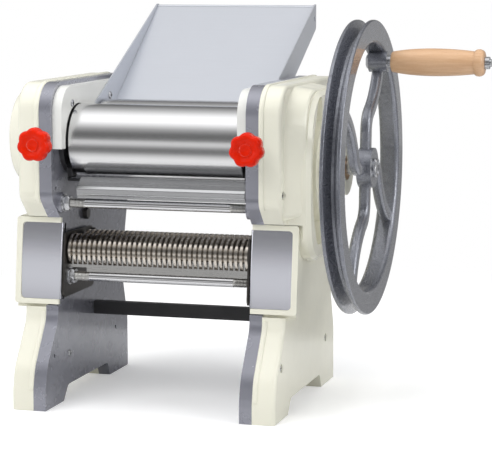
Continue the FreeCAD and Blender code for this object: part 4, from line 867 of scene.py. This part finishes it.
def surround():
    """White surround for the camera and for reflections; softer light for everything else."""
    world = bpy.data.worlds.new("surround")
    bpy.context.scene.world = world
    world.use_nodes = True
    tree = world.node_tree
    tree.nodes.clear()
    path = add_node(tree, "LightPath").outputs
    seen = add_node(tree, "Math", {0: path["Is Camera Ray"], 1: path["Is Glossy Ray"]}, operation="MAXIMUM")
    seen = add_node(tree, "Math", {0: seen.outputs[0], 1: path["Is Transmission Ray"]}, operation="MAXIMUM")
    white = add_node(tree, "Background", {"Color": (1, 1, 1, 1), "Strength": 1.0}).outputs[0]
    light = add_node(tree, "Background", {"Color": (0.97, 0.98, 1, 1), "Strength": 0.5}).outputs[0]
    mixed = add_node(tree, "MixShader", {0: seen.outputs[0], 1: light, 2: white})
    add_node(tree, "OutputWorld", {"Surface": mixed.outputs[0]})


def lamp(name, place, target, across, up, power):
    """Soft rectangular lamp aimed at a target."""
    data = bpy.data.lights.new(name, "AREA")
    data.shape, data.size, data.size_y, data.energy = "RECTANGLE", across, up, power
    thing = bpy.data.objects.new(name, data)
    bpy.context.scene.collection.objects.link(thing)
    thing.location = place
    thing.rotation_euler = (Vector(target) - Vector(place)).to_track_quat("-Z", "Y").to_euler()
    return thing


def reflector(name, stations):
    """Wide cloth along X, seen only in reflections; stations are (Y, Z, shade) across it."""
    mesh = bpy.data.meshes.new(name)
    corners = [(x, y, z) for y, z, shade in stations for x in (-REFLECTOR_HALF, REFLECTOR_HALF)]
    faces = [(2 * i, 2 * i + 1, 2 * i + 3, 2 * i + 2) for i in range(len(stations) - 1)]
    mesh.from_pydata(corners, [], faces)
    shades = mesh.attributes.new("shade", "FLOAT", "POINT")
    shades.data.foreach_set("value", [shade for y, z, shade in stations for end in range(2)])
    material = bpy.data.materials.new(name)
    material.use_nodes = True
    tree = material.node_tree
    tree.nodes.clear()
    shade = add_node(tree, "Attribute", attribute_name="shade").outputs["Fac"]
    glow = add_node(tree, "Emission", {"Color": (1, 1, 1, 1), "Strength": shade})
    add_node(tree, "OutputMaterial", {"Surface": glow.outputs[0]})
    mesh.materials.append(material)
    thing = bpy.data.objects.new(name, mesh)
    bpy.context.scene.collection.objects.link(thing)
    thing.visible_camera = thing.visible_diffuse = thing.visible_shadow = False
    thing.visible_transmission = thing.visible_volume_scatter = False


studio_floor()
surround()
middle = (-0.08, 0.0, 0.2)
key = lamp("key", (-0.9, -1.7, 2.1), middle, 1.8, 1.4, 27)
overhead = lamp("overhead", (-0.1, 0.1, 2.0), middle, 1.6, 1.0, 18)
key.visible_glossy = overhead.visible_glossy = False
lamp("crank_side_fill", (2.0, -0.7, 1.1), middle, 1.0, 1.4, 13)
lamp("left_fill", (-2.0, -0.9, 0.9), middle, 1.0, 1.2, 3)
# Shades of the tent by its angle up from the front horizon, over the top and down to the back.
TENT = [(-5, 0.75), (2, 0.8), (4, 0.62), (6.5, 0.3), (10, 0.22), (19, 0.14), (28, 0.18), (42, 0.45),
        (55, 0.95), (67, 1.4), (81, 1.45), (96, 1.1), (114, 0.62), (136, 0.28), (155, 0.12), (170, 0.3),
        (185, 0.5)]
TENT_RADIUS, TENT_Z = 2.9, 0.25
arch = [(math.radians(angle), shade) for angle, shade in TENT]
reflector("tent", [(-TENT_RADIUS * math.cos(angle), TENT_Z + TENT_RADIUS * math.sin(angle), shade)
                   for angle, shade in arch])
# Shades of the floor cloths by their distance from the middle of the machine, front and back.
CLOTH_Z = 0.001
FRONT_CLOTH = [(-2.9, 0.8), (-1.8, 0.7), (-1.1, 0.34), (-0.7, 0.16), (-0.5, 0.24), (-0.36, 0.75),
               (-0.27, 1.0), (-0.2, 0.9)]
BACK_CLOTH = [(0.3, 0.34), (2.9, 0.3)]
reflector("floor_cloth", [(y, CLOTH_Z, shade) for y, shade in FRONT_CLOTH])
reflector("back_floor_cloth", [(y, CLOTH_Z, shade) for y, shade in BACK_CLOTH])

# ---------------------------------------------------------------- camera
# Stands two metres off to the right of the front, a little above the machine.

camera = bpy.data.objects.new("camera", bpy.data.cameras.new("camera"))
bpy.context.scene.collection.objects.link(camera)
camera.location = (0.54175, -1.97085, 0.4409)
camera.rotation_euler = (math.radians(90 - 7.468), 0, math.radians(15.881))
camera.data.sensor_width = 36
camera.data.lens = 144.96
bpy.context.scene.camera = camera
bpy.context.scene.view_settings.view_transform = "Standard"
